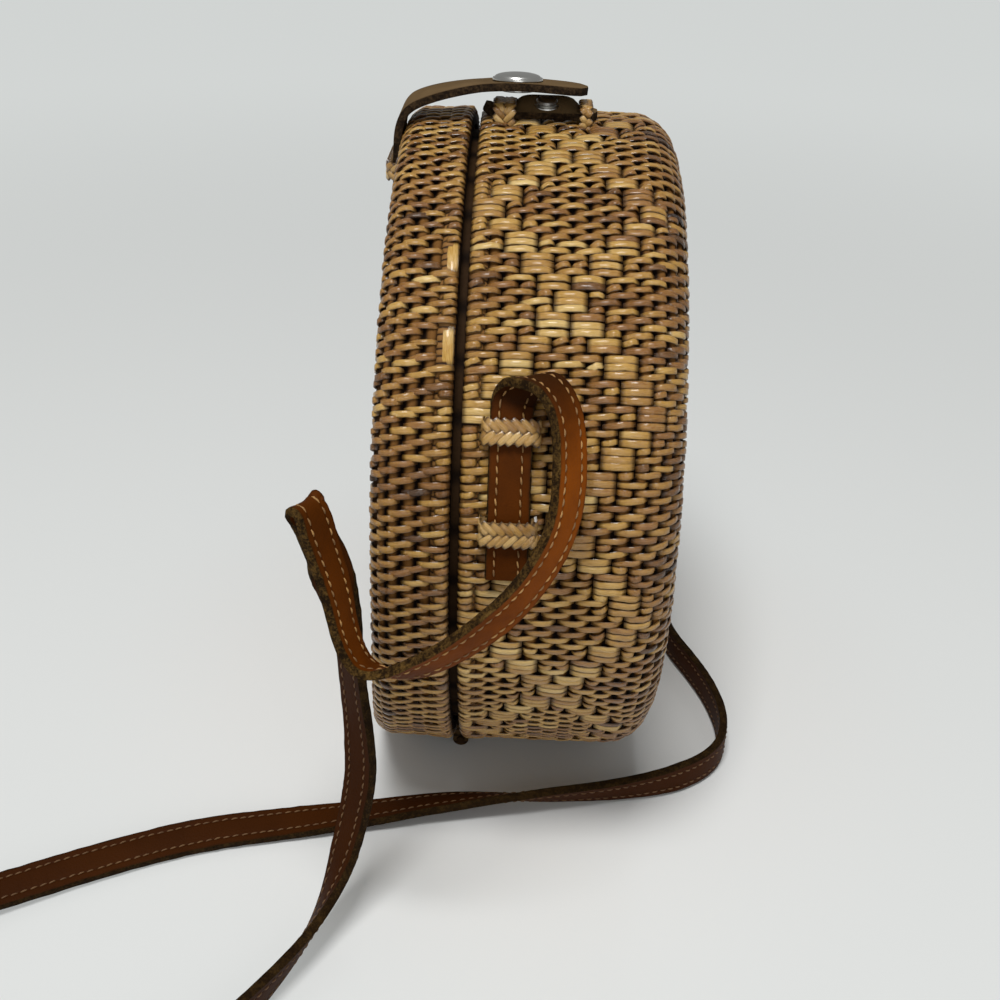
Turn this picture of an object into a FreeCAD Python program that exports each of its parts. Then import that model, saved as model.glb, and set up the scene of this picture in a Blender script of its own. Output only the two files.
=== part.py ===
import FreeCAD, Part
import math
import os
from FreeCAD import Vector

# A round woven bag that stands on its rim: a deep body and a shallow lid, hinged
# at the bottom by woven loops on cane pins and held at the top by a leather flap.
# Millimetres. X runs along the drum from the lid to the body, Z is up, and the
# side with the strap in front is at -Y. The origin is on the ground below the
# middle of the bag, so the flap's keeper and the body's back are equally far.

os.makedirs("parts", exist_ok=True)

# Woven drum
DRUM_RADIUS = 100.0
BAG_DEPTH = 82.0
LID_DEPTH = 21.6
SEAM_GAP = 2.2
BODY_EDGE_ROUND = 13.5
LID_EDGE_ROUND = 7.0
EDGE_STEPS = 3
WALL = 5.0
HOOP = 5.5
HOOP_SIDES = 8
SEAT_GAP = 0.1

# Inner collar that the lid closes over, and the cloth lining
COLLAR_REACH = 6.0
COLLAR_HOLD = 10.0
COLLAR_THICK = 2.2
COLLAR_PLAY = 1.2
COLLAR_LEAD = 0.8
LINING = 0.8
LINING_GAP = 0.2

# Hinge loops and cane pins under the seam
PIN_RADIUS = 1.25
PIN_PLAY = 0.06
PIN_SPARE = 1.0
KNUCKLE_WALL = 1.3
KNUCKLE_CLEAR = 0.3
HINGE_LOOP_WIDTH = 6.0
HINGE_LOOP_SPACE = 0.4
HINGE_TAIL = 13.0
HINGE_TAIL_THICK = 3.2
HINGE_TAIL_GAP = 0.3

# Braided loops that hold the leather
LOOP_WIDTH = 7.4
LOOP_THICK = 1.7
LOOP_ROUND = 0.6
LOOP_PLAY = 0.3

# Leather flap, its rise over the lid's shoulder and its lift hinge
FLAP_WIDTH = 18.0
FLAP_THICK = 3.0
FLAP_SEAT = 0.2
FLAP_FOOT_DOWN = 28.0
FLAP_KEEPER_DOWN = 18.0
FLAP_BEND_DOWN = 3.0
FLAP_BEND_RADIUS = 9.0
FLAP_RISE_DEG = 8.0
FLAP_HINGE_PLAY = 0.3
FLAP_STRAIGHT = 8.0
FLAP_CREST_RADIUS = 60.0
FLAP_TIP_FROM_SEAM = 31.5
FLAP_TIP_ROUND = 7.0

# Press stud: cap and socket on the flap, stud on the tab
SNAP_FROM_SEAM = 11.4
CAP_RADIUS = 7.8
CAP_RIM = 0.5
CAP_DOME = 2.0
CAP_STEPS = 4
SHANK_RADIUS = 2.0
SHANK_PLAY = 0.05
SOCKET_RADIUS = 5.0
SOCKET_HEIGHT = 1.5
SOCKET_CUP_RADIUS = 3.4
SOCKET_CUP_DEPTH = 0.8
STUD_FROM_SEAM = 20.0
STUD_RADIUS = 5.0
STUD_FLANGE = 0.6
STUD_HEAD_RADIUS = 3.1
STUD_HEAD = 1.4

# Leather tab on the body's top
TAB_START = 1.0
TAB_LENGTH = 32.5
TAB_WIDTH = 14.0
TAB_THICK = 2.5
TAB_ROUND = 3.0
TAB_LOOP_WIDTH = 6.0
TAB_LOOP_INNER = 6.9
TAB_LOOP_OUTER = 29.6

# Shoulder strap and its side loops
STRAP_WIDTH = 11.6
STRAP_THICK = 4.2
STRAP_FROM_SEAM = 13.7
UPPER_LOOP_DEG = 25.3
LOWER_LOOP_DEG = 11.0
STRAP_EXIT_DEG = 28.0
STRAP_TAIL_DEG = 3.7

# Route of the strap's free length between its two exits, and the way that its
# marked edge points at some of those places, from the near side to the far side
STRAP_ROUTE = [
    (-1.9, -88.2, 154.6), (3, -91, 161), (11, -101, 159.5), (13, -107, 149), (13, -111, 139),
    (11, -115, 128), (5, -119, 117), (-4, -122, 108), (-15, -124, 100), (-26, -124, 94),
    (-36, -123, 92), (-40, -122, 104), (-43, -121, 117), (-47, -120, 130), (-50, -118.5, 139),
    (-51.5, -111, 139), (-49.5, -109, 128), (-46, -108, 112), (-42.5, -108, 94), (-40, -108.5, 77),
    (-38.5, -109.5, 61), (-39, -110.5, 47), (-41.5, -112.5, 34.5), (-44, -116, 24), (-47, -121.5, 15),
    (-51, -130, 9), (-57, -142, 7), (-66, -158, 6.6), (-79, -176, 6.5), (-99, -189, 6.4),
    (-122, -193, 6.4), (-145, -187, 6.4), (-163, -171, 6.4), (-171, -149, 6.6), (-164, -128, 6.2),
    (-144, -115, 4.4), (-119, -103.5, 2.9), (-92, -92.5, 2.5), (-67, -84.8, 2.8), (-43, -78.6, 3.5),
    (-17, -73, 5.1), (14, -70, 6.3), (38, -66, 6.6), (57, -59, 6.4), (69.5, -48, 6.4),
    (73, -33, 6.3), (71, -16, 6.2), (65.5, 1, 6.2), (58.5, 17, 6.2), (56, 37, 6.2),
    (57, 58, 6.4), (54, 80, 8), (45, 98, 15), (33, 110, 29), (22, 116, 49),
    (13, 118.5, 71), (6, 119, 93), (1.5, 117.5, 115), (-0.8, 114.5, 135), (-1.6, 109, 150),
    (-1.8, 100, 160.5), (-1.8, 91, 161), (-1.9, 88.2, 154.6),
]
STRAP_EDGE_SHARES = {
    0: (-1, 0, 0), 1: (-1, -0.08, 0), 3: (-0.65, -0.75, 0.1), 5: (-0.7, -0.6, 0.3),
    8: (-0.45, -0.3, 0.83), 10: (0, -0.15, 1), 11: (-0.3, -0.8, 0.55), 13: (-0.76, -0.59, 0.08),
    15: (-1, -0.1, 0), 17: (-1, 0.1, -0.1), 20: (-0.8, 0.45, -0.25), 24: (-0.65, 0.6, -0.45),
    26: (-0.25, 0.6, -0.8), 28: (0, 0.2, -1), 33: (0, 0, -1), 35: (-0.2, 0.7, -0.6),
    36: (-0.4, 0.9, -0.1), 39: (-0.25, 0.97, -0.02), 41: (-0.1, 0.9, -0.45), 42: (-0.05, 0.6, -0.8),
    44: (0, 0.1, -1), 51: (0, 0, -1), 54: (-0.7, 0, -0.7), 57: (-1, 0, -0.2), 60: (-1, 0, 0),
    64: (-1, 0, 0),
}
ARC_SHARE = 0.45
ARC_STEPS = 2

# Every cut runs this far past the faces it goes through
OVERRUN = 20.0

# Places worked out from the sizes above
DRUM_Z = DRUM_RADIUS
FACE_STAND = FLAP_SEAT + FLAP_THICK + LOOP_PLAY + LOOP_THICK
MID_X = FACE_STAND / 2
LID_FACE_X = MID_X - BAG_DEPTH / 2
BODY_FACE_X = MID_X + BAG_DEPTH / 2
LID_RIM_X = LID_FACE_X + LID_DEPTH
BODY_RIM_X = LID_RIM_X + SEAM_GAP
SEAM_X = (LID_RIM_X + BODY_RIM_X) / 2
TOP_Z = DRUM_Z + DRUM_RADIUS
TAB_TOP_Z = TOP_Z + TAB_THICK
STRAP_X = SEAM_X + STRAP_FROM_SEAM
STRAP_MID_RADIUS = DRUM_RADIUS + LOOP_PLAY + STRAP_THICK / 2
KNUCKLE_RADIUS = PIN_RADIUS + PIN_PLAY + KNUCKLE_WALL
HINGE_Z = KNUCKLE_RADIUS
# The knuckles lie in the groove between the rim hoops, as near the middle as fits
HOOP_REACH = KNUCKLE_RADIUS + KNUCKLE_CLEAR + HOOP / 2
HOOP_MID_Z = HINGE_Z + math.sqrt(HOOP_REACH ** 2 - ((SEAM_GAP + HOOP) / 2) ** 2)
KNUCKLE_INNER_Y = math.sqrt((DRUM_RADIUS - HOOP / 2) ** 2 - (DRUM_Z - HOOP_MID_Z) ** 2)
HINGE_OUT = KNUCKLE_INNER_Y + HINGE_LOOP_WIDTH + HINGE_LOOP_SPACE / 2
AXIS_POINT = Vector(0, 0, DRUM_Z)
ALONG_X = Vector(1, 0, 0)
ALONG_Y = Vector(0, 1, 0)
ALONG_Z = Vector(0, 0, 1)


def save(name, shape):
    """Write one solid as a part file and print its volume."""
    shape.exportStep("parts/" + name + ".step")
    print(name, "valid", shape.isValid(), "solids", len(shape.Solids), "volume", round(shape.Volume, 1))


def on_drum(x, radius):
    """Point at a place along the drum, straight above its axis."""
    return Vector(x, 0, DRUM_Z + radius)


def lines(points):
    """Straight edges through the points in turn."""
    return [Part.makeLine(a, b) for a, b in zip(points, points[1:])]


def round_edge(centre, start, end):
    """Quarter arc between two points about a centre."""
    radius = (start - centre).Length
    middle = centre + ((start - centre) + (end - centre)).normalize() * radius
    return Part.Arc(start, middle, end).toShape()


def bend_points(centre, start, end, steps):
    """Points along a quarter arc about a centre, in equal steps."""
    first = start - centre
    last = end - centre
    turns = [math.pi / 2 * step / steps for step in range(steps + 1)]
    return [centre + first * math.cos(turn) + last * math.sin(turn) for turn in turns]


def turned(points):
    """Solid made by turning a closed outline about the drum's axis."""
    return Part.Face(Part.Wire(lines(points + points[:1]))).revolve(AXIS_POINT, ALONG_X, 360)


def drum_core(radius):
    """Solid cylinder on the drum's axis, longer than the bag."""
    start = Vector(LID_FACE_X - OVERRUN, 0, DRUM_Z)
    return Part.makeCylinder(radius, BAG_DEPTH + 2 * OVERRUN, start, ALONG_X)


def cup(open_x, face_x, radius, edge, wall, steps):
    """Shell with a round wall, an edge rounded in steps and a closed face."""
    side = 1 if face_x > open_x else -1
    bend_x = face_x - side * edge
    back_x = face_x - side * wall
    centre = on_drum(bend_x, radius - edge)
    outside = bend_points(centre, on_drum(bend_x, radius), on_drum(face_x, radius - edge), steps)
    middle = [on_drum(face_x, 0), on_drum(back_x, 0)]
    inside = bend_points(centre, on_drum(back_x, radius - edge), on_drum(bend_x, radius - wall), 1)
    rim = [on_drum(open_x, radius - wall), on_drum(open_x, radius)]
    return turned(outside + middle + inside + rim)


def hoop(middle_x):
    """Rim hoop with a many-sided section, flat towards the seam and the wall."""
    section = HOOP / 2 / math.cos(math.pi / HOOP_SIDES)
    turns = [2 * math.pi * (side + 0.5) / HOOP_SIDES for side in range(HOOP_SIDES)]
    middle = on_drum(middle_x, DRUM_RADIUS - HOOP / 2)
    return turned([middle + Vector(math.cos(turn), 0, math.sin(turn)) * section for turn in turns])


def baskets():
    """Woven walls, their rim hoops, the collar and the two linings."""
    inside = DRUM_RADIUS - WALL - LINING_GAP
    seats = {"body": (BODY_RIM_X, BODY_FACE_X, 1, BODY_EDGE_ROUND),
             "lid": (LID_RIM_X, LID_FACE_X, -1, LID_EDGE_ROUND)}
    for half, (rim_x, face_x, side, edge) in seats.items():
        wall_x = rim_x + side * (HOOP + SEAT_GAP)
        save(half + "_basket", cup(wall_x, face_x, DRUM_RADIUS, edge, WALL, EDGE_STEPS))
        save(half + "_rim_hoop", hoop(rim_x + side * HOOP / 2))
        lining_x = wall_x + side * (COLLAR_HOLD + LINING_GAP if half == "body" else 0)
        lining_face = face_x - side * (WALL + LINING_GAP)
        lining_edge = edge - WALL - LINING_GAP
        save(half + "_lining", cup(lining_x, lining_face, inside, lining_edge, LINING, 1))
    save("body_collar", collar())


def collar():
    """Stepped hoop that seats in the body and reaches across the seam."""
    outer = DRUM_RADIUS - HOOP - COLLAR_PLAY
    seat = DRUM_RADIUS - WALL - SEAT_GAP
    inner = outer - COLLAR_THICK
    tip_x = BODY_RIM_X - COLLAR_REACH
    seat_x = BODY_RIM_X + HOOP + SEAT_GAP
    end_x = seat_x + COLLAR_HOLD
    outline = [on_drum(tip_x, inner), on_drum(tip_x, outer - COLLAR_LEAD),
               on_drum(tip_x + COLLAR_LEAD, outer), on_drum(seat_x, outer), on_drum(seat_x, seat),
               on_drum(end_x, seat), on_drum(end_x, inner)]
    return turned(outline)


def hinges():
    """Front and rear hinge: a cane pin, a loop on the body and one on the lid."""
    shift = (HINGE_LOOP_WIDTH + HINGE_LOOP_SPACE) / 2
    for place, side in (("front", -1), ("rear", 1)):
        body_y = side * (HINGE_OUT - shift)
        lid_y = side * (HINGE_OUT + shift)
        save("body_hinge_loop_" + place, hinge_loop(body_y, 1, PIN_RADIUS))
        save("lid_hinge_loop_" + place, hinge_loop(lid_y, -1, PIN_RADIUS + PIN_PLAY))
        length = 2 * (shift + HINGE_LOOP_WIDTH / 2 + PIN_SPARE)
        start = Vector(SEAM_X, side * HINGE_OUT - length / 2, HINGE_Z)
        save("hinge_pin_" + place, Part.makeCylinder(PIN_RADIUS, length, start, ALONG_Y))


def hinge_loop(y, side, bore):
    """Loop that goes round the pin and lies along the wall with its tail."""
    low_y = y - HINGE_LOOP_WIDTH / 2
    knuckle = Part.makeCylinder(KNUCKLE_RADIUS, HINGE_LOOP_WIDTH, Vector(SEAM_X, low_y, HINGE_Z), ALONG_Y)
    start_x = SEAM_X + (HINGE_TAIL_GAP if side > 0 else -HINGE_TAIL)
    corner = Vector(start_x, low_y, 0)
    slab = Part.makeBox(HINGE_TAIL - HINGE_TAIL_GAP, HINGE_LOOP_WIDTH, DRUM_Z, corner)
    tail = slab.common(drum_core(DRUM_RADIUS + HINGE_TAIL_THICK)).cut(drum_core(DRUM_RADIUS + SEAT_GAP))
    hole = Part.makeCylinder(bore, HINGE_LOOP_WIDTH, Vector(SEAM_X, low_y, HINGE_Z), ALONG_Y)
    return knuckle.fuse(tail).cut(hole).removeSplitter()


def arch(inner_width, inner_height, width, foot):
    """Band that bridges a strip: spans Y, is wide along X and rises along Z."""
    inner = inner_width / 2
    outer = inner + LOOP_THICK
    top = inner_height + LOOP_THICK
    large = LOOP_ROUND + LOOP_THICK

    def place(y, z):
        return Vector(-width / 2, y, z)

    def corner(sign, half, high, radius):
        centre = place(sign * (half - radius), high - radius)
        return centre, place(sign * half, high - radius), place(sign * (half - radius), high)

    left, left_low, left_high = corner(-1, outer, top, large)
    right, right_low, right_high = corner(1, outer, top, large)
    near, near_low, near_high = corner(1, inner, inner_height, LOOP_ROUND)
    far, far_low, far_high = corner(-1, inner, inner_height, LOOP_ROUND)
    edges = lines([place(-outer, -foot), left_low]) + [round_edge(left, left_low, left_high)]
    edges += lines([left_high, right_high]) + [round_edge(right, right_high, right_low)]
    edges += lines([right_low, place(outer, -foot), place(inner, -foot), near_low])
    edges += [round_edge(near, near_low, near_high)] + lines([near_high, far_high])
    edges += [round_edge(far, far_high, far_low)]
    edges += lines([far_low, place(-inner, -foot), place(-outer, -foot)])
    return Part.Face(Part.Wire(edges)).extrude(Vector(width, 0, 0))


def strap_pieces():
    """Side loops, the strap's two fixed ends and its free length."""
    seat = drum_core(DRUM_RADIUS + SEAT_GAP)
    for place, side in (("near", 1), ("far", -1)):
        for level, angle in (("upper", UPPER_LOOP_DEG), ("lower", LOWER_LOOP_DEG)):
            loop = arch(STRAP_WIDTH + 2 * LOOP_PLAY, STRAP_THICK + 2 * LOOP_PLAY, LOOP_WIDTH, WALL)
            loop.rotate(Vector(), ALONG_Z, 90)
            loop.translate(on_drum(STRAP_X, DRUM_RADIUS))
            loop = loop.cut(seat)
            loop.rotate(AXIS_POINT, ALONG_X, side * (90 - angle))
            save("strap_loop_" + place + "_" + level, loop)
        save("strap_end_" + place, strap_end(side))
    save("shoulder_strap", free_strap())


def strap_end(side):
    """Strap lying on the wall through its two loops."""
    low = DRUM_RADIUS + LOOP_PLAY
    left = STRAP_X - STRAP_WIDTH / 2
    right = STRAP_X + STRAP_WIDTH / 2
    corners = [on_drum(left, low), on_drum(right, low), on_drum(right, low + STRAP_THICK),
               on_drum(left, low + STRAP_THICK)]
    section = Part.Face(Part.Wire(lines(corners + corners[:1])))
    section.rotate(AXIS_POINT, ALONG_X, side * (90 - STRAP_EXIT_DEG))
    return section.revolve(AXIS_POINT, ALONG_X, side * (STRAP_EXIT_DEG - STRAP_TAIL_DEG))


def strap_exit(side):
    """Place where the free strap starts, on the near (1) or far (-1) side."""
    angle = math.radians(STRAP_EXIT_DEG)
    out = STRAP_MID_RADIUS * math.cos(angle)
    return Vector(STRAP_X, -side * out, DRUM_Z + STRAP_MID_RADIUS * math.sin(angle))


def exit_heading(side):
    """Way that the strap points where it leaves the near side or enters the far side."""
    angle = math.radians(STRAP_EXIT_DEG)
    return Vector(0, math.sin(angle), side * math.cos(angle))


def stations(route):
    """Places, headings and route positions along straight runs and tangent arcs."""
    result = [(route[0], exit_heading(1), 0.0)]
    radii = []
    for index in range(1, len(route) - 1):
        before = route[index] - route[index - 1]
        after = route[index + 1] - route[index]
        half_turn = before.getAngle(after) / 2
        cut = ARC_SHARE * min(before.Length, after.Length)
        radius = cut / math.tan(half_turn)
        radii.append(radius)
        ahead = Vector(before).normalize()
        inward = (Vector(after).normalize() - ahead).normalize()
        centre = route[index] + inward * (radius / math.cos(half_turn))
        chord = (ahead + Vector(after).normalize()).normalize()
        for step in range(ARC_STEPS + 1):
            share = step / ARC_STEPS
            swing = (2 * share - 1) * half_turn
            out = inward * -math.cos(swing) + chord * math.sin(swing)
            heading = inward * math.sin(swing) + chord * math.cos(swing)
            result.append((centre + out * radius, heading, index + (2 * share - 1) * ARC_SHARE))
    result.append((route[-1], exit_heading(-1), len(route) - 1.0))
    print("strap arc radii from", round(min(radii), 1), "to", round(max(radii), 1))
    return result


def edge_way(position):
    """Way that the strap's marked edge points at a position along the route."""
    keys = sorted(STRAP_EDGE_SHARES)
    low = max(key for key in keys if key <= position)
    high = min(key for key in keys if key >= position)
    if low == high:
        return Vector(*STRAP_EDGE_SHARES[low])
    share = (position - low) / (high - low)
    return Vector(*STRAP_EDGE_SHARES[low]) * (1 - share) + Vector(*STRAP_EDGE_SHARES[high]) * share


def free_strap():
    """Flat strap lofted along its route, turned so that its edge points as listed."""
    route = [strap_exit(1)] + [Vector(*point) for point in STRAP_ROUTE] + [strap_exit(-1)]
    path = stations(route)
    wires = []
    lowest = DRUM_Z
    for place, heading, position in path:
        across = edge_way(position)
        across = (across - heading * across.dot(heading)).normalize()
        face = heading.cross(across)
        corners = []
        for over, up in ((1, 1), (1, -1), (-1, -1), (-1, 1)):
            corners.append(place + across * (over * STRAP_WIDTH / 2) + face * (up * STRAP_THICK / 2))
        lowest = min([lowest] + [corner.z for corner in corners])
        wires.append(Part.makePolygon(corners + corners[:1]))
    length = sum((b[0] - a[0]).Length for a, b in zip(path, path[1:]))
    solid = Part.makeLoft(wires, True, True)
    print("strap length", round(length, 1), "lowest", round(lowest, 2),
          "volume share", round(solid.Volume / (length * STRAP_WIDTH * STRAP_THICK), 3))
    return solid


def strip(points, bends, width):
    """Leather strip with rounded ends that follows lines and arcs in the XZ plane."""
    edges = []
    for index, (start, end) in enumerate(zip(points, points[1:])):
        middle = bends.get(index)
        if middle is None:
            edges.append(Part.makeLine(start, end))
        else:
            edges.append(Part.Arc(start, middle, end).toShape())
    outline = Part.Wire(edges).makeOffset2D(FLAP_THICK / 2, 0, False, False, False)
    solid = Part.Face(outline).extrude(Vector(0, width, 0))
    solid.translate(Vector(0, -width / 2, 0))
    return solid


def flap_places():
    """Points of the flap's middle line, from its foot on the lid to its tip."""
    rise = math.radians(FLAP_RISE_DEG)
    line_x = LID_FACE_X - FLAP_SEAT - FLAP_THICK / 2
    foot = Vector(line_x, 0, TOP_Z - FLAP_FOOT_DOWN)
    bend = Vector(line_x, 0, TOP_Z - FLAP_BEND_DOWN)
    centre = bend + Vector(FLAP_BEND_RADIUS, 0, 0)

    def round_bend(angle):
        return centre + Vector(-math.cos(angle), 0, math.sin(angle)) * FLAP_BEND_RADIUS

    turn = math.pi / 2 - rise
    ahead = Vector(math.cos(rise), 0, math.sin(rise))
    stop = round_bend(turn)
    hinge = stop + ahead * (FLAP_THICK + FLAP_HINGE_PLAY)
    crest = hinge + ahead * FLAP_STRAIGHT
    below = crest + Vector(math.sin(rise), 0, -math.cos(rise)) * FLAP_CREST_RADIUS
    half = rise / 2
    over = below + Vector(-math.sin(half), 0, math.cos(half)) * FLAP_CREST_RADIUS
    level = below + Vector(0, 0, FLAP_CREST_RADIUS)
    tip = Vector(SEAM_X + FLAP_TIP_FROM_SEAM - FLAP_THICK / 2, 0, level.z)
    return foot, bend, round_bend(turn / 2), stop, hinge, crest, over, level, tip


def clasp():
    """Flap, its keeper, the press stud, the tab and the tab's loops."""
    foot, bend, bend_middle, stop, hinge, crest, over, level, tip = flap_places()
    save("flap_anchor", strip([foot, bend, stop], {1: bend_middle}, FLAP_WIDTH))
    keeper = arch(FLAP_WIDTH + 2 * LOOP_PLAY, FLAP_SEAT + FLAP_THICK + LOOP_PLAY, LOOP_WIDTH, -SEAT_GAP)
    keeper.rotate(Vector(), ALONG_Y, -90)
    keeper.translate(Vector(LID_FACE_X, 0, TOP_Z - FLAP_KEEPER_DOWN))
    save("flap_keeper_loop", keeper)

    snap = Vector(SEAM_X + SNAP_FROM_SEAM, 0, level.z)
    under = snap - Vector(0, 0, FLAP_THICK / 2)
    above = snap + Vector(0, 0, FLAP_THICK / 2)
    flap = strip([hinge, crest, level, tip], {1: over}, FLAP_WIDTH)
    plan = rounded_plan(hinge.x - OVERRUN, tip.x + FLAP_THICK / 2, FLAP_WIDTH, FLAP_TIP_ROUND)
    plan = plan.extrude(Vector(0, 0, TOP_Z))
    plan.translate(Vector(0, 0, DRUM_Z))
    hole = shank_hole(under, FLAP_THICK)
    save("clasp_flap", flap.common(plan).cut(hole))
    save("snap_cap", snap_cap(above))
    save("snap_socket", snap_socket(under))

    stud = Vector(SEAM_X + STUD_FROM_SEAM, 0, TAB_TOP_Z)
    save("snap_stud", snap_stud(stud))
    save("clasp_tab", clasp_tab(stud))
    seat = drum_core(DRUM_RADIUS + SEAT_GAP)
    for place, offset in (("inner", TAB_LOOP_INNER), ("outer", TAB_LOOP_OUTER)):
        loop = arch(TAB_WIDTH + 2 * LOOP_PLAY, TAB_THICK + LOOP_PLAY, TAB_LOOP_WIDTH, WALL)
        loop.translate(on_drum(BODY_RIM_X + offset, DRUM_RADIUS))
        save("tab_loop_" + place, loop.cut(seat))
    print("flap hinge at", round(hinge.x, 3), round(hinge.z, 3))


def rounded_plan(start_x, end_x, width, radius):
    """Face in the XY plane with a square start and a rounded end."""
    half = width / 2
    low = Vector(end_x - radius, -half + radius, 0)
    high = Vector(end_x - radius, half - radius, 0)
    side = Vector(0, radius, 0)
    front = Vector(radius, 0, 0)
    edges = lines([Vector(start_x, half, 0), Vector(start_x, -half, 0), low - side])
    edges += [round_edge(low, low - side, low + front)] + lines([low + front, high + front])
    edges += [round_edge(high, high + front, high + side)] + lines([high + side, Vector(start_x, half, 0)])
    return Part.Face(Part.Wire(edges))


def shank_hole(base, thick):
    """Cylinder that cuts a shank's hole up through leather from its lower face."""
    start = base - Vector(0, 0, OVERRUN)
    return Part.makeCylinder(SHANK_RADIUS + SHANK_PLAY, thick + 2 * OVERRUN, start)


def snap_cap(base):
    """Domed cap with a rim and a shank that goes through the flap to the socket."""
    length = FLAP_THICK + SOCKET_HEIGHT - SOCKET_CUP_DEPTH
    ball = (CAP_RADIUS ** 2 + CAP_DOME ** 2) / (2 * CAP_DOME)
    centre = base + Vector(0, 0, CAP_RIM + CAP_DOME - ball)
    sweep = math.asin(CAP_RADIUS / ball)
    turns = [sweep * (1 - step / CAP_STEPS) for step in range(CAP_STEPS + 1)]
    dome = [centre + Vector(math.sin(turn), 0, math.cos(turn)) * ball for turn in turns]
    out = Vector(SHANK_RADIUS, 0, 0)
    foot = base - Vector(0, 0, length)
    outline = [foot, foot + out, base + out, base + Vector(CAP_RADIUS, 0, 0)] + dome
    return Part.Face(Part.Wire(lines(outline + outline[:1]))).revolve(base, ALONG_Z, 360)


def snap_socket(seat):
    """Ring under the flap with a cup for the stud's head."""
    base = seat - Vector(0, 0, SOCKET_HEIGHT)
    ring = Part.makeCylinder(SOCKET_RADIUS, SOCKET_HEIGHT, base)
    cup_space = Part.makeCylinder(SOCKET_CUP_RADIUS, SOCKET_CUP_DEPTH, base)
    hole = Part.makeCylinder(SHANK_RADIUS + SHANK_PLAY, SOCKET_HEIGHT, base)
    return ring.cut(cup_space).cut(hole)


def snap_stud(seat):
    """Flanged stud with a head on top and a shank down through the tab."""
    flange = Part.makeCylinder(STUD_RADIUS, STUD_FLANGE, seat)
    head = Part.makeCylinder(STUD_HEAD_RADIUS, STUD_HEAD, seat + Vector(0, 0, STUD_FLANGE))
    length = TAB_THICK - SEAT_GAP
    shank = Part.makeCylinder(SHANK_RADIUS, length, seat - Vector(0, 0, length))
    return flange.fuse([head, shank]).removeSplitter()


def clasp_tab(stud):
    """Leather strip saddled on the body's top, with a hole for the stud."""
    half = TAB_LENGTH / 2
    front = rounded_plan(0, half, TAB_WIDTH, TAB_ROUND).extrude(Vector(0, 0, TAB_THICK + WALL))
    back = front.copy()
    back.rotate(Vector(), ALONG_Z, 180)
    tab = front.fuse(back).removeSplitter()
    tab.translate(Vector(BODY_RIM_X + TAB_START + half, 0, TOP_Z - WALL))
    hole = shank_hole(stud - Vector(0, 0, TAB_THICK), TAB_THICK)
    return tab.cut(drum_core(DRUM_RADIUS + SEAT_GAP)).cut(hole)


baskets()
hinges()
clasp()
strap_pieces()
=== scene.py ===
"""Looks of a round woven bag with a leather flap and a long leather shoulder strap.

Metres, Z up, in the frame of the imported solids: X runs along the drum from the lid to the
body's back, the photographed side is at -Y, and the ground is at zero.
"""
import logging
import math
from dataclasses import dataclass, field
from enum import Enum
from typing import Callable, ClassVar, Mapping, Optional, Sequence, Union

import bpy
import numpy as np
from mathutils import Matrix, Vector


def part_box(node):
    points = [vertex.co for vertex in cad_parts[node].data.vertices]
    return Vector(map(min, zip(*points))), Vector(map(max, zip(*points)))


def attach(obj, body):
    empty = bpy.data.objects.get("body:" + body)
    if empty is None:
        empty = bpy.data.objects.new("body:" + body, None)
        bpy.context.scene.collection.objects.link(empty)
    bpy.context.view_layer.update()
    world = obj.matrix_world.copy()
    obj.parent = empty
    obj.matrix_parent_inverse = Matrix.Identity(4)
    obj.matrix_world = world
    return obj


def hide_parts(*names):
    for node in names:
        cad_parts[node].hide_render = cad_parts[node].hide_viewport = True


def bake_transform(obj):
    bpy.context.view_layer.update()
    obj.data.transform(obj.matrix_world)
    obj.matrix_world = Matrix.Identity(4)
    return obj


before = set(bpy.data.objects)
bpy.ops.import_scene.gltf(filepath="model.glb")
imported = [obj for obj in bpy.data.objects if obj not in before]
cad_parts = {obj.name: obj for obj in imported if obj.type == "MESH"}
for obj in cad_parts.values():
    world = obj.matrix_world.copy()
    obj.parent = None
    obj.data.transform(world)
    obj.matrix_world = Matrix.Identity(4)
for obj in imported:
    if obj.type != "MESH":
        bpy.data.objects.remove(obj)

LOG = logging.getLogger("circle_bag")
Colour = tuple[float, float, float]
Surface = Callable[[np.ndarray, np.ndarray, np.ndarray], np.ndarray]
Value = Union["Wire", float, Colour, Sequence[float]]
Span = tuple[float, float]
# Places past the end of every strip, so that no painted shade falls on it
NEVER: Span = (9.0, 10.0)


class Body(Enum):
    """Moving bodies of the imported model."""

    BODY = "body"
    LID = "lid"
    FLAP = "flap"


class Slot(Enum):
    """Material slots of the record."""

    VINE = "woven_vine"
    RIM = "rim_vine"
    BRAID = "braided_vine"
    CANE = "collar_cane"
    CLOTH = "lining_cloth"
    FLAP = "flap_leather"
    STRAP = "strap_leather"
    METAL = "snap_metal"


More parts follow.
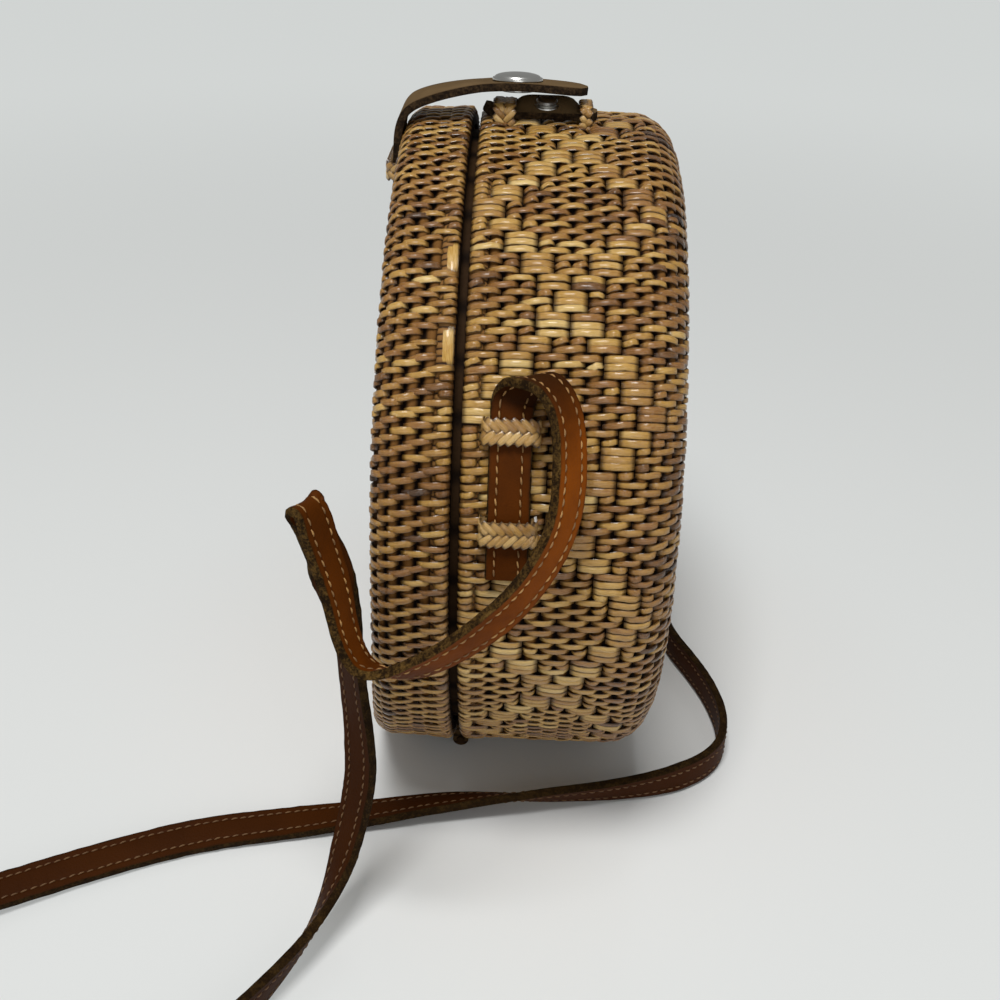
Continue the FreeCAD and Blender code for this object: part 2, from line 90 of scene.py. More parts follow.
class Wire:
    """One output of a shader node, with arithmetic that adds Math nodes."""

    def __init__(self, graph: "Graph", socket: bpy.types.NodeSocket) -> None:
        """Keep the graph and the socket."""
        self.graph = graph
        self.socket = socket

    def __add__(self, other: Value) -> "Wire":
        """Sum."""
        return self.graph.maths("ADD", self, other)

    def __sub__(self, other: Value) -> "Wire":
        """Difference."""
        return self.graph.maths("SUBTRACT", self, other)

    def __rsub__(self, other: Value) -> "Wire":
        """Difference from a number."""
        return self.graph.maths("SUBTRACT", other, self)

    def __mul__(self, other: Value) -> "Wire":
        """Product."""
        return self.graph.maths("MULTIPLY", self, other)

    def __truediv__(self, other: Value) -> "Wire":
        """Quotient."""
        return self.graph.maths("DIVIDE", self, other)

    def __pow__(self, other: Value) -> "Wire":
        """Power."""
        return self.graph.maths("POWER", self, other)

    def __abs__(self) -> "Wire":
        """Size without sign."""
        return self.graph.maths("ABSOLUTE", self, 0.0)

    __radd__ = __add__
    __rmul__ = __mul__

    def rises(self, low: float, high: float) -> "Wire":
        """Smooth step.

        Args:
            low: value that gives 0.
            high: value that gives 1; it may be the smaller one.

        Returns:
            A value from 0 to 1.
        """
        settings = {"interpolation_type": "SMOOTHSTEP"}
        return self.graph.get("MapRange", settings, {"Value": self, "From Min": low, "From Max": high})


class Graph:
    """Node tree of one material."""

    def __init__(self, name: str) -> None:
        """Start an empty material."""
        self.material = bpy.data.materials.new(name)
        self.material.use_nodes = True
        self.tree = self.material.node_tree
        self.tree.nodes.clear()
        self.end = self.tree.nodes.new("ShaderNodeOutputMaterial")

    def node(
        self,
        kind: str,
        settings: Optional[Mapping[str, object]] = None,
        sockets: Optional[Mapping[Union[str, int], Value]] = None,
    ) -> bpy.types.Node:
        """Add one node.

        Args:
            kind: node type without its common prefix.
            settings: properties, set first; "stops" fills a colour ramp.
            sockets: values or wires by socket name or number.

        Returns:
            The node.
        """
        made = self.tree.nodes.new("ShaderNode" + kind)
        for key, value in (settings or {}).items():
            if key == "stops":
                ramp = made.color_ramp.elements
                while len(ramp) < len(value):
                    ramp.new(1.0)
                for stop, (place, colour) in zip(ramp, value):
                    stop.position = place
                    stop.color = (*colour, 1.0)
            else:
                setattr(made, key, value)
        for key, value in (sockets or {}).items():
            target = made.inputs[key]
            if isinstance(value, Wire):
                self.tree.links.new(value.socket, target)
            elif target.type == "RGBA" and len(value) == 3:
                target.default_value = (*value, 1.0)
            else:
                target.default_value = value
        return made

    def get(
        self,
        kind: str,
        settings: Optional[Mapping[str, object]] = None,
        sockets: Optional[Mapping[Union[str, int], Value]] = None,
        output: Union[str, int] = 0,
    ) -> Wire:
        """Add one node and return one of its outputs as a wire."""
        return Wire(self, self.node(kind, settings, sockets).outputs[output])

    def maths(self, operation: str, first: Value, second: Value) -> Wire:
        """Add one Math node."""
        return self.get("Math", {"operation": operation}, {0: first, 1: second})

    def attribute(self, name: str) -> Wire:
        """Number stored on the mesh under a name."""
        return self.get("Attribute", {"attribute_name": name}, None, "Fac")

    def place(self) -> Wire:
        """Object coordinates."""
        return self.get("TexCoord", None, None, "Object")

    def join(self, x: Value, y: Value, z: Value) -> Wire:
        """Vector of three numbers."""
        return self.get("CombineXYZ", None, {0: x, 1: y, 2: z})

    def noise(self, where: Wire, scale: float, detail: float = 3.0, rough: float = 0.55) -> Wire:
        """Cloudy number from 0 to 1.

        Args:
            where: coordinates.
            scale: how many clouds in one unit.
            detail: octaves.
            rough: strength of the finer octaves.

        Returns:
            The noise value.
        """
        sockets = {"Vector": where, "Scale": scale, "Detail": detail, "Roughness": rough}
        return self.get("TexNoise", None, sockets)

    def mix(self, share: Value, first: Value, second: Value, blend: str = "MIX") -> Wire:
        """Mixed colour.

        Args:
            share: amount of the second colour.
            first: first colour.
            second: second colour.
            blend: way of mixing.

        Returns:
            The colour.
        """
        settings = {"data_type": "RGBA", "blend_type": blend}
        return self.get("Mix", settings, {0: share, 6: first, 7: second}, 2)

    def ramp(self, value: Wire, stops: Sequence[tuple[float, Colour]]) -> Wire:
        """Colour picked from a ramp by a number."""
        return self.get("ValToRGB", {"stops": stops}, {"Fac": value})

    def bump(self, height: Wire, strength: float, distance: float, under: Optional[Wire] = None) -> Wire:
        """Normal of a relief.

        Args:
            height: relief from 0 to 1.
            strength: share of the relief that shows.
            distance: depth of the relief.
            under: normal of a coarser relief below it.

        Returns:
            The normal.
        """
        sockets: dict[Union[str, int], Value] = {"Height": height, "Strength": strength, "Distance": distance}
        if under is not None:
            sockets["Normal"] = under
        return self.get("Bump", None, sockets)

    def surface(self, sockets: Mapping[Union[str, int], Value]) -> bpy.types.Material:
        """End the graph in one principled surface.

        Args:
            sockets: values or wires of the surface by socket name.

        Returns:
            The finished material.
        """
        shader = self.get("BsdfPrincipled", None, sockets)
        self.tree.links.new(shader.socket, self.end.inputs["Surface"])
        return self.material


@dataclass(frozen=True)
class VineFinish:
    """Smoked vine strands: golden to brown, with fine fibres, a dull polish, and painted shade at their ends
    and sides.
    """

    name: str
    dark: Colour
    tan: Colour
    gold: Colour
    pale: Colour
    # Painted shade at the strands' ends and along their sides.
    painted_end_shade: float = 0.8
    painted_side_shade: float = 0.8
    fibre_depth: float = 0.0004
    seed_step: float = 61.0
    blotch_scale: float = 160.0
    rough_least: float = 0.17
    rough_span: float = 0.24
    coat: float = 0.4
    coat_rough: float = 0.14
    specular: float = 0.48

    def material(self) -> bpy.types.Material:
        """Make the material; it reads tint, along and across from the mesh.

        Returns:
            The material.
        """
        graph = Graph(self.name)
        tint = graph.attribute("tint")
        along = graph.attribute("along")
        across = graph.attribute("across")
        seed = tint * self.seed_step
        fibre = graph.noise(graph.join(along * 1.4 + seed, across * 5.0, seed), 2.2, 4.0, 0.65)
        blotch = graph.noise(graph.place(), self.blotch_scale)
        tone = tint + (fibre - 0.5) * 0.45 + (blotch - 0.5) * 0.3
        stops = [(0.05, self.dark), (0.35, self.tan), (0.62, self.gold), (0.95, self.pale)]
        colour = graph.ramp(tone, stops)
        middle = abs(along * 2.0 - 1.0)
        # Painted shade: each strand darkens towards the dark colour at its ends, where it dips under its
        # neighbours, and along its sides.
        colour = graph.mix(middle.rises(0.66, 1.0) * self.painted_end_shade, colour, self.dark)
        colour = graph.mix(abs(across).rises(0.55, 1.0) * self.painted_side_shade, colour, self.dark)
        ridge = graph.noise(graph.join(along * 0.8 + seed, across * 9.0, seed), 2.0, 2.0)
        normal = graph.bump(ridge * 0.6 + fibre * 0.4, 0.7, self.fibre_depth)
        rough = self.rough_least + fibre * self.rough_span
        return graph.surface({"Base Color": colour, "Roughness": rough, "Normal": normal,
                              "Coat Weight": self.coat, "Coat Roughness": self.coat_rough,
                              "Specular IOR Level": self.specular})


@dataclass(frozen=True)
class CoreFinish:
    """Bare hoops below the strands: straw on top, with painted shade, near black, in the grooves between
    them.
    """

    name: str
    groove: Colour
    crest: Colour
    grain_scale: float = 420.0
    grain_depth: float = 0.0004
    specular: float = 0.12

    def material(self) -> bpy.types.Material:
        """Make the material; it reads the height over the grooves from the mesh.

        Returns:
            The material.
        """
        graph = Graph(self.name)
        lift = graph.attribute("lift")
        grain = graph.noise(graph.place(), self.grain_scale, 4.0, 0.7)
        # Painted shade: low on their lift the hoops take the groove colour, the shade between the strands;
        # the grain's dark flecks take the same colour.
        colour = graph.mix((lift + (grain - 0.5) * 0.5).rises(0.35, 1.0), self.groove, self.crest)
        colour = graph.mix(grain.rises(0.55, 0.75) * 0.5, colour, self.groove)
        return graph.surface({"Base Color": colour, "Roughness": 0.6 + grain * 0.3,
                              "Specular IOR Level": self.specular,
                              "Normal": graph.bump(grain, 0.6, self.grain_depth)})


@dataclass(frozen=True)
class CaneFinish:
    """Split cane or a wrapped rim: stripes across its length with fine fibres."""

    name: str
    dark: Colour
    light: Colour
    wraps: float
    shine: float = 0.3
    grain_scale: float = 600.0
    wrap_depth: float = 0.0006

    def material(self) -> bpy.types.Material:
        """Make the material; the stripes run round the drum's axis.

        Returns:
            The material.
        """
        graph = Graph(self.name)
        where = graph.place()
        parts = graph.node("SeparateXYZ", None, {0: where})
        y = Wire(graph, parts.outputs[1])
        z = Wire(graph, parts.outputs[2]) - DRUM.axis_z
        turn = graph.maths("ARCTAN2", z, y) * (self.wraps / 2.0)
        stripe = abs(graph.maths("SINE", turn, 0.0))
        grain = graph.noise(where, self.grain_scale, 4.0, 0.7)
        colour = graph.mix((stripe + (grain - 0.5) * 0.6).rises(0.05, 0.75), self.dark, self.light)
        colour = graph.mix(grain.rises(0.45, 0.8) * 0.35, colour, self.dark)
        normal = graph.bump(stripe * 0.8 + grain * 0.2, 0.8, self.wrap_depth)
        return graph.surface({"Base Color": colour, "Roughness": 0.6 + grain * 0.25, "Normal": normal,
                              "Specular IOR Level": self.shine})


@dataclass(frozen=True)
class LeatherFinish:
    """Smooth leather face: warm mottling, pores, creases, worn borders, and painted shade on stretches in
    shadow.

    Places along the strip are in metres, and each pair of them goes from no painted shade to full.
    """

    name: str
    deep: Colour
    main: Colour
    worn: Colour
    gloss: float
    pore_scale: float = 1500.0
    crease_scale: float = 260.0
    mottle_scale: float = 45.0
    cloud_scale: float = 12.0
    row: float = 0.56
    specular: float = 0.04
    relief_depth: float = 0.0003
    # Painted shade: its colour and the places along the strip where it is laid, on stretches that lie in
    # shadow.
    painted_shade: Colour = (0.013, 0.0044, 0.0009)
    shade_rise: Span = NEVER
    near_end_shade: float = 0.0
    tip_shadow: Span = (0.08, 0.058)
    curl_in: Span = (0.04, 0.048)
    curl_out: Span = (0.075, 0.062)
    curl_share: float = 0.45

    def material(self) -> bpy.types.Material:
        """Make the material; it reads the places across and along the strip from the mesh.

        Returns:
            The material.
        """
        graph = Graph(self.name)
        where = graph.place()
        across = abs(graph.attribute("across"))
        mottle = graph.noise(where, self.mottle_scale, 4.0, 0.6)
        cloud = graph.noise(where, self.cloud_scale, 2.0)
        pores = graph.get("TexVoronoi", None, {"Vector": where, "Scale": self.pore_scale})
        crease = graph.noise(where, self.crease_scale, 5.0, 0.7)
        colour = graph.mix((mottle * 0.6 + cloud * 0.4).rises(0.3, 0.72), self.deep, self.main)
        colour = graph.mix(crease.rises(0.58, 0.75) * 0.35, colour, self.deep)
        colour = graph.mix((across + (crease - 0.5) * 0.3).rises(0.82, 1.0) * 0.6, colour, self.worn)
        seam = abs(across - self.row).rises(0.1, 0.02)
        colour = graph.mix(seam * 0.45, colour, self.deep)
        # Painted shade: the strip darkens towards the shade colour where it lies in shadow, that is along its
        # later stretches, at its tip under the loops, and inside the curl.
        along = graph.attribute("along")
        shaded = along.rises(*self.shade_rise) + along.rises(*self.tip_shadow) * self.near_end_shade
        curl = along.rises(*self.curl_in) * along.rises(*self.curl_out)
        shaded = shaded + curl * self.near_end_shade * self.curl_share
        colour = graph.mix(shaded * (0.66 + mottle * 0.3), colour, self.painted_shade)
        relief = pores * 0.35 + crease * 0.5 - seam * 0.6
        rough = self.gloss + mottle * 0.18 + crease * 0.12
        return graph.surface({"Base Color": colour, "Roughness": rough, "Specular IOR Level": self.specular,
                              "Normal": graph.bump(relief, 0.45, self.relief_depth)})


@dataclass(frozen=True)
class RawLeatherFinish:
    """Cut edge or rough side of leather, with loose fibres and painted shade where the strip lies in shadow.
    """

    name: str
    dark: Colour
    fibre: Colour
    shade_rise: Span = NEVER
    fuzz_scale: float = 1400.0
    clump_scale: float = 330.0
    fuzz_depth: float = 0.0008
    specular: float = 0.08

    def material(self) -> bpy.types.Material:
        """Make the material.

        Returns:
            The material.
        """
        graph = Graph(self.name)
        where = graph.place()
        fuzz = graph.noise(where, self.fuzz_scale, 5.0, 0.75)
        clump = graph.noise(where, self.clump_scale, 3.0, 0.6)
        share = (fuzz * 0.6 + clump * 0.4).rises(0.42, 0.68)
        colour = graph.mix(share, self.dark, self.fibre)
        # Painted shade: the raw edge darkens where the strip lies in shadow.
        shaded = graph.attribute("along").rises(*self.shade_rise)
        colour = graph.mix(shaded * 0.7, colour, self.dark)
        normal = graph.bump(fuzz * 0.5 + clump * 0.5, 0.9, self.fuzz_depth)
        return graph.surface({"Base Color": colour, "Roughness": 0.85 + fuzz * 0.12, "Normal": normal,
                              "Specular IOR Level": self.specular})


@dataclass(frozen=True)
class ThreadFinish:
    """Waxed thread, twisted."""

    name: str
    light: Colour
    shade: Colour
    twists: float = 14.0
    twist_lean: float = 2.5
    twist_depth: float = 0.0001

    def material(self) -> bpy.types.Material:
        """Make the material; it reads along and across from the mesh.

        Returns:
            The material.
        """
        graph = Graph(self.name)
        along = graph.attribute("along")
        across = graph.attribute("across")
        tint = graph.attribute("tint")
        twist = abs(graph.maths("SINE", along * self.twists + across * self.twist_lean, 0.0))
        colour = graph.mix((twist * 0.4 + 0.6) * tint, self.shade, self.light)
        return graph.surface({"Base Color": colour, "Roughness": 0.6 + twist * 0.1,
                              "Normal": graph.bump(twist, 0.6, self.twist_depth)})


@dataclass(frozen=True)
class MetalFinish:
    """Polished nickel with fine scratches and dull spots."""

    name: str
    bright: Colour
    dull: Colour
    spot_scale: float = 180.0
    scratch_scale: tuple[float, float, float] = (200.0, 3000.0, 600.0)
    scratch_depth: float = 0.00005

    def material(self) -> bpy.types.Material:
        """Make the material.

        Returns:
            The material.
        """
        graph = Graph(self.name)
        where = graph.place()
        spots = graph.noise(where, self.spot_scale, 3.0, 0.5).rises(0.45, 0.8)
        lines = graph.noise(graph.get("Mapping", None, {0: where, "Scale": self.scratch_scale}), 1.0)
        colour = graph.mix(spots * 0.3, self.bright, self.dull)
        rough = 0.27 + spots * 0.08 + lines * 0.05
        return graph.surface({"Base Color": colour, "Metallic": 1.0, "Roughness": rough,
                              "Normal": graph.bump(lines, 0.15, self.scratch_depth)})


@dataclass(frozen=True)
class ClothFinish:
    """Plain woven cotton."""

    name: str
    light: Colour
    shade: Colour
    pitch: float = 0.0007
    slub_scale: float = 300.0
    weave_depth: float = 0.0002
    sheen: float = 0.2

    def material(self) -> bpy.types.Material:
        """Make the material; the threads follow the mesh's own coordinates.

        Returns:
            The material.
        """
        graph = Graph(self.name)
        rate = math.pi / self.pitch
        warp = abs(graph.maths("SINE", graph.attribute("run") * rate, 0.0))
        weft = abs(graph.maths("SINE", graph.attribute("round") * rate, 0.0))
        slub = graph.noise(graph.place(), self.slub_scale)
        weave = warp * 0.5 + weft * 0.5
        colour = graph.mix((weave * 0.6 + slub * 0.4).rises(0.2, 0.8), self.shade, self.light)
        normal = graph.bump(weave, 0.5, self.weave_depth)
        return graph.surface({"Base Color": colour, "Roughness": 0.85 + slub * 0.1, "Normal": normal,
                              "Sheen Weight": self.sheen})


@dataclass(frozen=True)
class FloorFinish:
    """Pale glossy board that stays pale where the lamps don't reach."""

    name: str
    colour: Colour
    seen: Colour
    rough: float = 0.22
    near: Span = (0.085, 0.17)
    near_share: float = 0.45
    far: Span = (0.2, 1.1)
    far_share: float = 0.4

    def material(self) -> bpy.types.Material:
        """Make the material; the lamps' light is mixed with a pale glow, more of it farther back.

        Returns:
            The material.
        """
        graph = Graph(self.name)
        away = graph.get("VectorMath", {"operation": "LENGTH"}, {0: graph.place()}, "Value")
        share = away.rises(*self.near) * self.near_share + away.rises(*self.far) * self.far_share
        board = graph.node("BsdfPrincipled", None, {"Base Color": self.colour, "Roughness": self.rough})
        glow = graph.node("Emission", None, {"Color": self.seen, "Strength": 1.0})
        path = graph.node("LightPath")
        shown = Wire(graph, path.outputs["Is Camera Ray"]) + Wire(graph, path.outputs["Is Glossy Ray"])
        blend = graph.get("MixShader", None, {0: shown * share, 1: Wire(graph, board.outputs[0]),
                                              2: Wire(graph, glow.outputs[0])})
        graph.tree.links.new(blend.socket, graph.end.inputs["Surface"])
        return graph.material


@dataclass(frozen=True)
class Drum:
    """Places of the woven drum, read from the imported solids."""

    radius: float
    axis_z: float
    body_edge: float
    lid_edge: float
    body_rim: float
    body_face: float
    lid_rim: float
    lid_face: float

    @classmethod
    def from_frame(cls, body_edge: float, lid_edge: float) -> "Drum":
        """Read the drum from the solids.

        Args:
            body_edge: radius of the body's rounded outer edge, which a box can't give.
            lid_edge: the same for the lid.

        Returns:
            The drum's places.
        """
        low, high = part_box("body_basket")
        radius = (high.z - low.z) / 2
        return cls(radius, low.z + radius, body_edge, lid_edge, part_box("body_rim_hoop")[0].x, high.x,
                   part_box("lid_rim_hoop")[1].x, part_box("lid_basket")[0].x)

    def edge(self, body: Body) -> float:
        """Radius of the rounded outer edge of one half."""
        return self.body_edge if body is Body.BODY else self.lid_edge

    def point(self, x: float, radius: float, turn: float) -> Vector:
        """Point on the drum.

        Args:
            x: place along the drum.
            radius: distance from the axis.
            turn: angle in radians, 0 at the near side and positive upwards.

        Returns:
            The point.
        """
        return Vector((x, -radius * math.cos(turn), self.axis_z + radius * math.sin(turn)))

    def turned(self, name: str, points: Sequence[Span], steps: int, closed: bool) -> bpy.types.Object:
        """Piece turned about the drum's axis.

        Args:
            name: object name.
            points: outline as X and the distance from the axis.
            steps: number of steps in the full turn.
            closed: whether the outline closes on itself.

        Returns:
            The piece.
        """
        outline = [(x, 0.0, self.axis_z + reach) for x, reach in points]
        return Bench.turn(name, outline, Vector((0, 0, self.axis_z)), Vector((1, 0, 0)), steps, closed)


DRUM = Drum.from_frame(body_edge=0.0135, lid_edge=0.007)


class Bench:
    """Operator calls that model a piece as by hand."""

    MERGE: float = 0.00001
    ROUTE_STEPS: int = 9
    ROUTE_ORDER: int = 3
    SOFT_ANGLE: float = math.radians(50)
    SOFT_STEPS: int = 2

    @staticmethod
    def start() -> None:
        """Go to object mode with nothing selected."""
        if bpy.context.mode != "OBJECT":
            bpy.ops.object.mode_set(mode="OBJECT")
        bpy.ops.object.select_all(action="DESELECT")

    @classmethod
    def pick(cls, piece: bpy.types.Object) -> None:
        """Leave one object selected and active, in object mode.

        Args:
            piece: the object.
        """
        cls.start()
        bpy.context.view_layer.objects.active = piece
        piece.select_set(True)

    @staticmethod
    def add(name: str, data: bpy.types.ID) -> bpy.types.Object:
        """New object in the scene.

        Args:
            name: object name.
            data: its mesh, curve, camera or lamp.

        Returns:
            The object.
        """
        piece = bpy.data.objects.new(name, data)
        bpy.context.scene.collection.objects.link(piece)
        return piece

    @classmethod
    def open(cls, piece: bpy.types.Object) -> None:
        """Enter edit mode with all of one object selected.

        Args:
            piece: the object.
        """
        cls.pick(piece)
        bpy.ops.object.mode_set(mode="EDIT")
        bpy.ops.mesh.select_all(action="SELECT")

    @classmethod
    def close(cls, merge: bool = True) -> None:
        """Point the faces outwards and leave edit mode.

        Args:
            merge: whether doubles are merged first.
        """
        bpy.ops.mesh.select_all(action="SELECT")
        if merge:
            bpy.ops.mesh.remove_doubles(threshold=cls.MERGE)
        bpy.ops.mesh.normals_make_consistent(inside=False)
        bpy.ops.object.mode_set(mode="OBJECT")

    @classmethod
    def line(cls, name: str, points: Sequence[Sequence[float]], closed: bool = False) -> bpy.types.Object:
        """New object that is a row of edges.

        Args:
            name: object name.
            points: places in metres.
            closed: whether the last point joins the first.

        Returns:
            The object.
        """
        edges = [(index, index + 1) for index in range(len(points) - 1)]
        if closed:
            edges.append((len(points) - 1, 0))
        mesh = bpy.data.meshes.new(name)
        mesh.from_pydata([tuple(point) for point in points], edges, [])
        return Bench.add(name, mesh)

    @classmethod
    def spline(cls, controls: Sequence[Sequence[float]]) -> np.ndarray:
        """Points read from one smooth curve along a route.

        Args:
            controls: control points of the curve.

        Returns:
            Points along the curve, one row each.
        """
        data = bpy.data.curves.new("route", "CURVE")
        data.dimensions = "3D"
        data.resolution_u = cls.ROUTE_STEPS
        line = data.splines.new("NURBS")
        line.points.add(len(controls) - 1)
        for point, place in zip(line.points, controls):
            point.co = (*place, 1.0)
        line.order_u = cls.ROUTE_ORDER
        line.use_endpoint_u = True
        holder = cls.add("route", data)
        mesh = bpy.data.meshes.new_from_object(holder.evaluated_get(bpy.context.evaluated_depsgraph_get()))
        places = cls.read(mesh)
        bpy.data.meshes.remove(mesh)
        bpy.data.objects.remove(holder)
        bpy.data.curves.remove(data)
        return places

    @classmethod
    def turn(
        cls,
        name: str,
        points: Sequence[Sequence[float]],
        centre: Vector,
        axis: Vector,
        steps: int,
        closed: bool,
    ) -> bpy.types.Object:
        """Piece turned from an outline.

        Args:
            name: object name.
            points: outline in metres.
            centre: point on the turning axis.
            axis: direction of the turning axis.
            steps: number of steps in the full turn.
            closed: whether the outline closes on itself.

        Returns:
            The piece.
        """
        piece = cls.line(name, points, closed)
        cls.open(piece)
        bpy.ops.mesh.spin(steps=steps, angle=2 * math.pi, center=centre, axis=axis)
        cls.close()
        return piece

    @classmethod
    def ribbon(
        cls, name: str, points: Sequence[Sequence[float]], step: Vector, count: int
    ) -> bpy.types.Object:
        """Strip made by drawing a row of edges out sideways.

        Args:
            name: object name.
            points: middle line in metres.
            step: one step sideways.
            count: number of steps.

        Returns:
            The strip, without thickness.
        """
        piece = cls.line(name, points)
        cls.open(piece)
        for _ in range(count):
            bpy.ops.mesh.extrude_region_move(TRANSFORM_OT_translate={"value": step})
        cls.close()
        return piece

    @classmethod
    def thicken(cls, piece: bpy.types.Object, thick: float, bevel: float) -> None:
        """Give a sheet its thickness about its middle, with softened rims.

        Args:
            piece: sheet with outward normals; its rim takes the second material.
            thick: thickness in metres.
            bevel: size of the softened edge.
        """
        wall = piece.modifiers.new("thickness", "SOLIDIFY")
        wall.thickness = thick
        wall.offset = 0.0
        wall.use_even_offset = True
        wall.material_offset_rim = 1
        soft = piece.modifiers.new("soft", "BEVEL")
        soft.width = bevel
        soft.segments = cls.SOFT_STEPS
        soft.limit_method = "ANGLE"
        soft.angle_limit = cls.SOFT_ANGLE
        cls.apply(piece)

    @classmethod
    def apply(cls, piece: bpy.types.Object) -> None:
        """Apply every modifier in order.

        Args:
            piece: the piece that has them.
        """
        cls.pick(piece)
        for modifier in list(piece.modifiers):
            bpy.ops.object.modifier_apply(modifier=modifier.name)

    @classmethod
    def smooth(cls, piece: bpy.types.Object, angle: float = 40.0) -> None:
        """Shade a piece smooth up to an angle in degrees."""
        cls.pick(piece)
        bpy.ops.object.shade_smooth_by_angle(angle=math.radians(angle))

    @staticmethod
    def read(mesh: bpy.types.Mesh) -> np.ndarray:
        """Places of a mesh's vertices.

        Args:
            mesh: the mesh.

        Returns:
            Places, one row each.
        """
        places = np.empty(len(mesh.vertices) * 3, np.float32)
        mesh.vertices.foreach_get("co", places)
        return places.reshape(-1, 3).astype(float)

    @classmethod
    def points(cls, piece: bpy.types.Object) -> np.ndarray:
        """Places of a piece's vertices, one row each."""
        return cls.read(piece.data)

    @staticmethod
    def move(piece: bpy.types.Object, places: np.ndarray) -> None:
        """Put a piece's vertices at new places."""
        piece.data.vertices.foreach_set("co", places.astype(np.float32).ravel())
        piece.data.update()

    @staticmethod
    def store(piece: bpy.types.Object, **numbers: np.ndarray) -> None:
        """Store numbers on a piece's vertices.

        Args:
            piece: the piece.
            numbers: one number per vertex, by the name that a material reads.
        """
        for name, values in numbers.items():
            layer = piece.data.attributes.new(name, "FLOAT", "POINT")
            layer.data.foreach_set("value", np.asarray(values, np.float32).ravel())

    @staticmethod
    def dress(piece: bpy.types.Object, body: Body, slot: Slot, *materials: bpy.types.Material) -> None:
        """Give a piece its materials and its body.

        Args:
            piece: the piece.
            body: body that carries it.
            slot: not used.
            materials: its materials in order.
        """
        piece.data.materials.clear()
        for material in materials:
            piece.data.materials.append(material)
        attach(piece, body.value)
        LOG.info("%s: %d faces on %s", piece.name, len(piece.data.polygons), body.value)


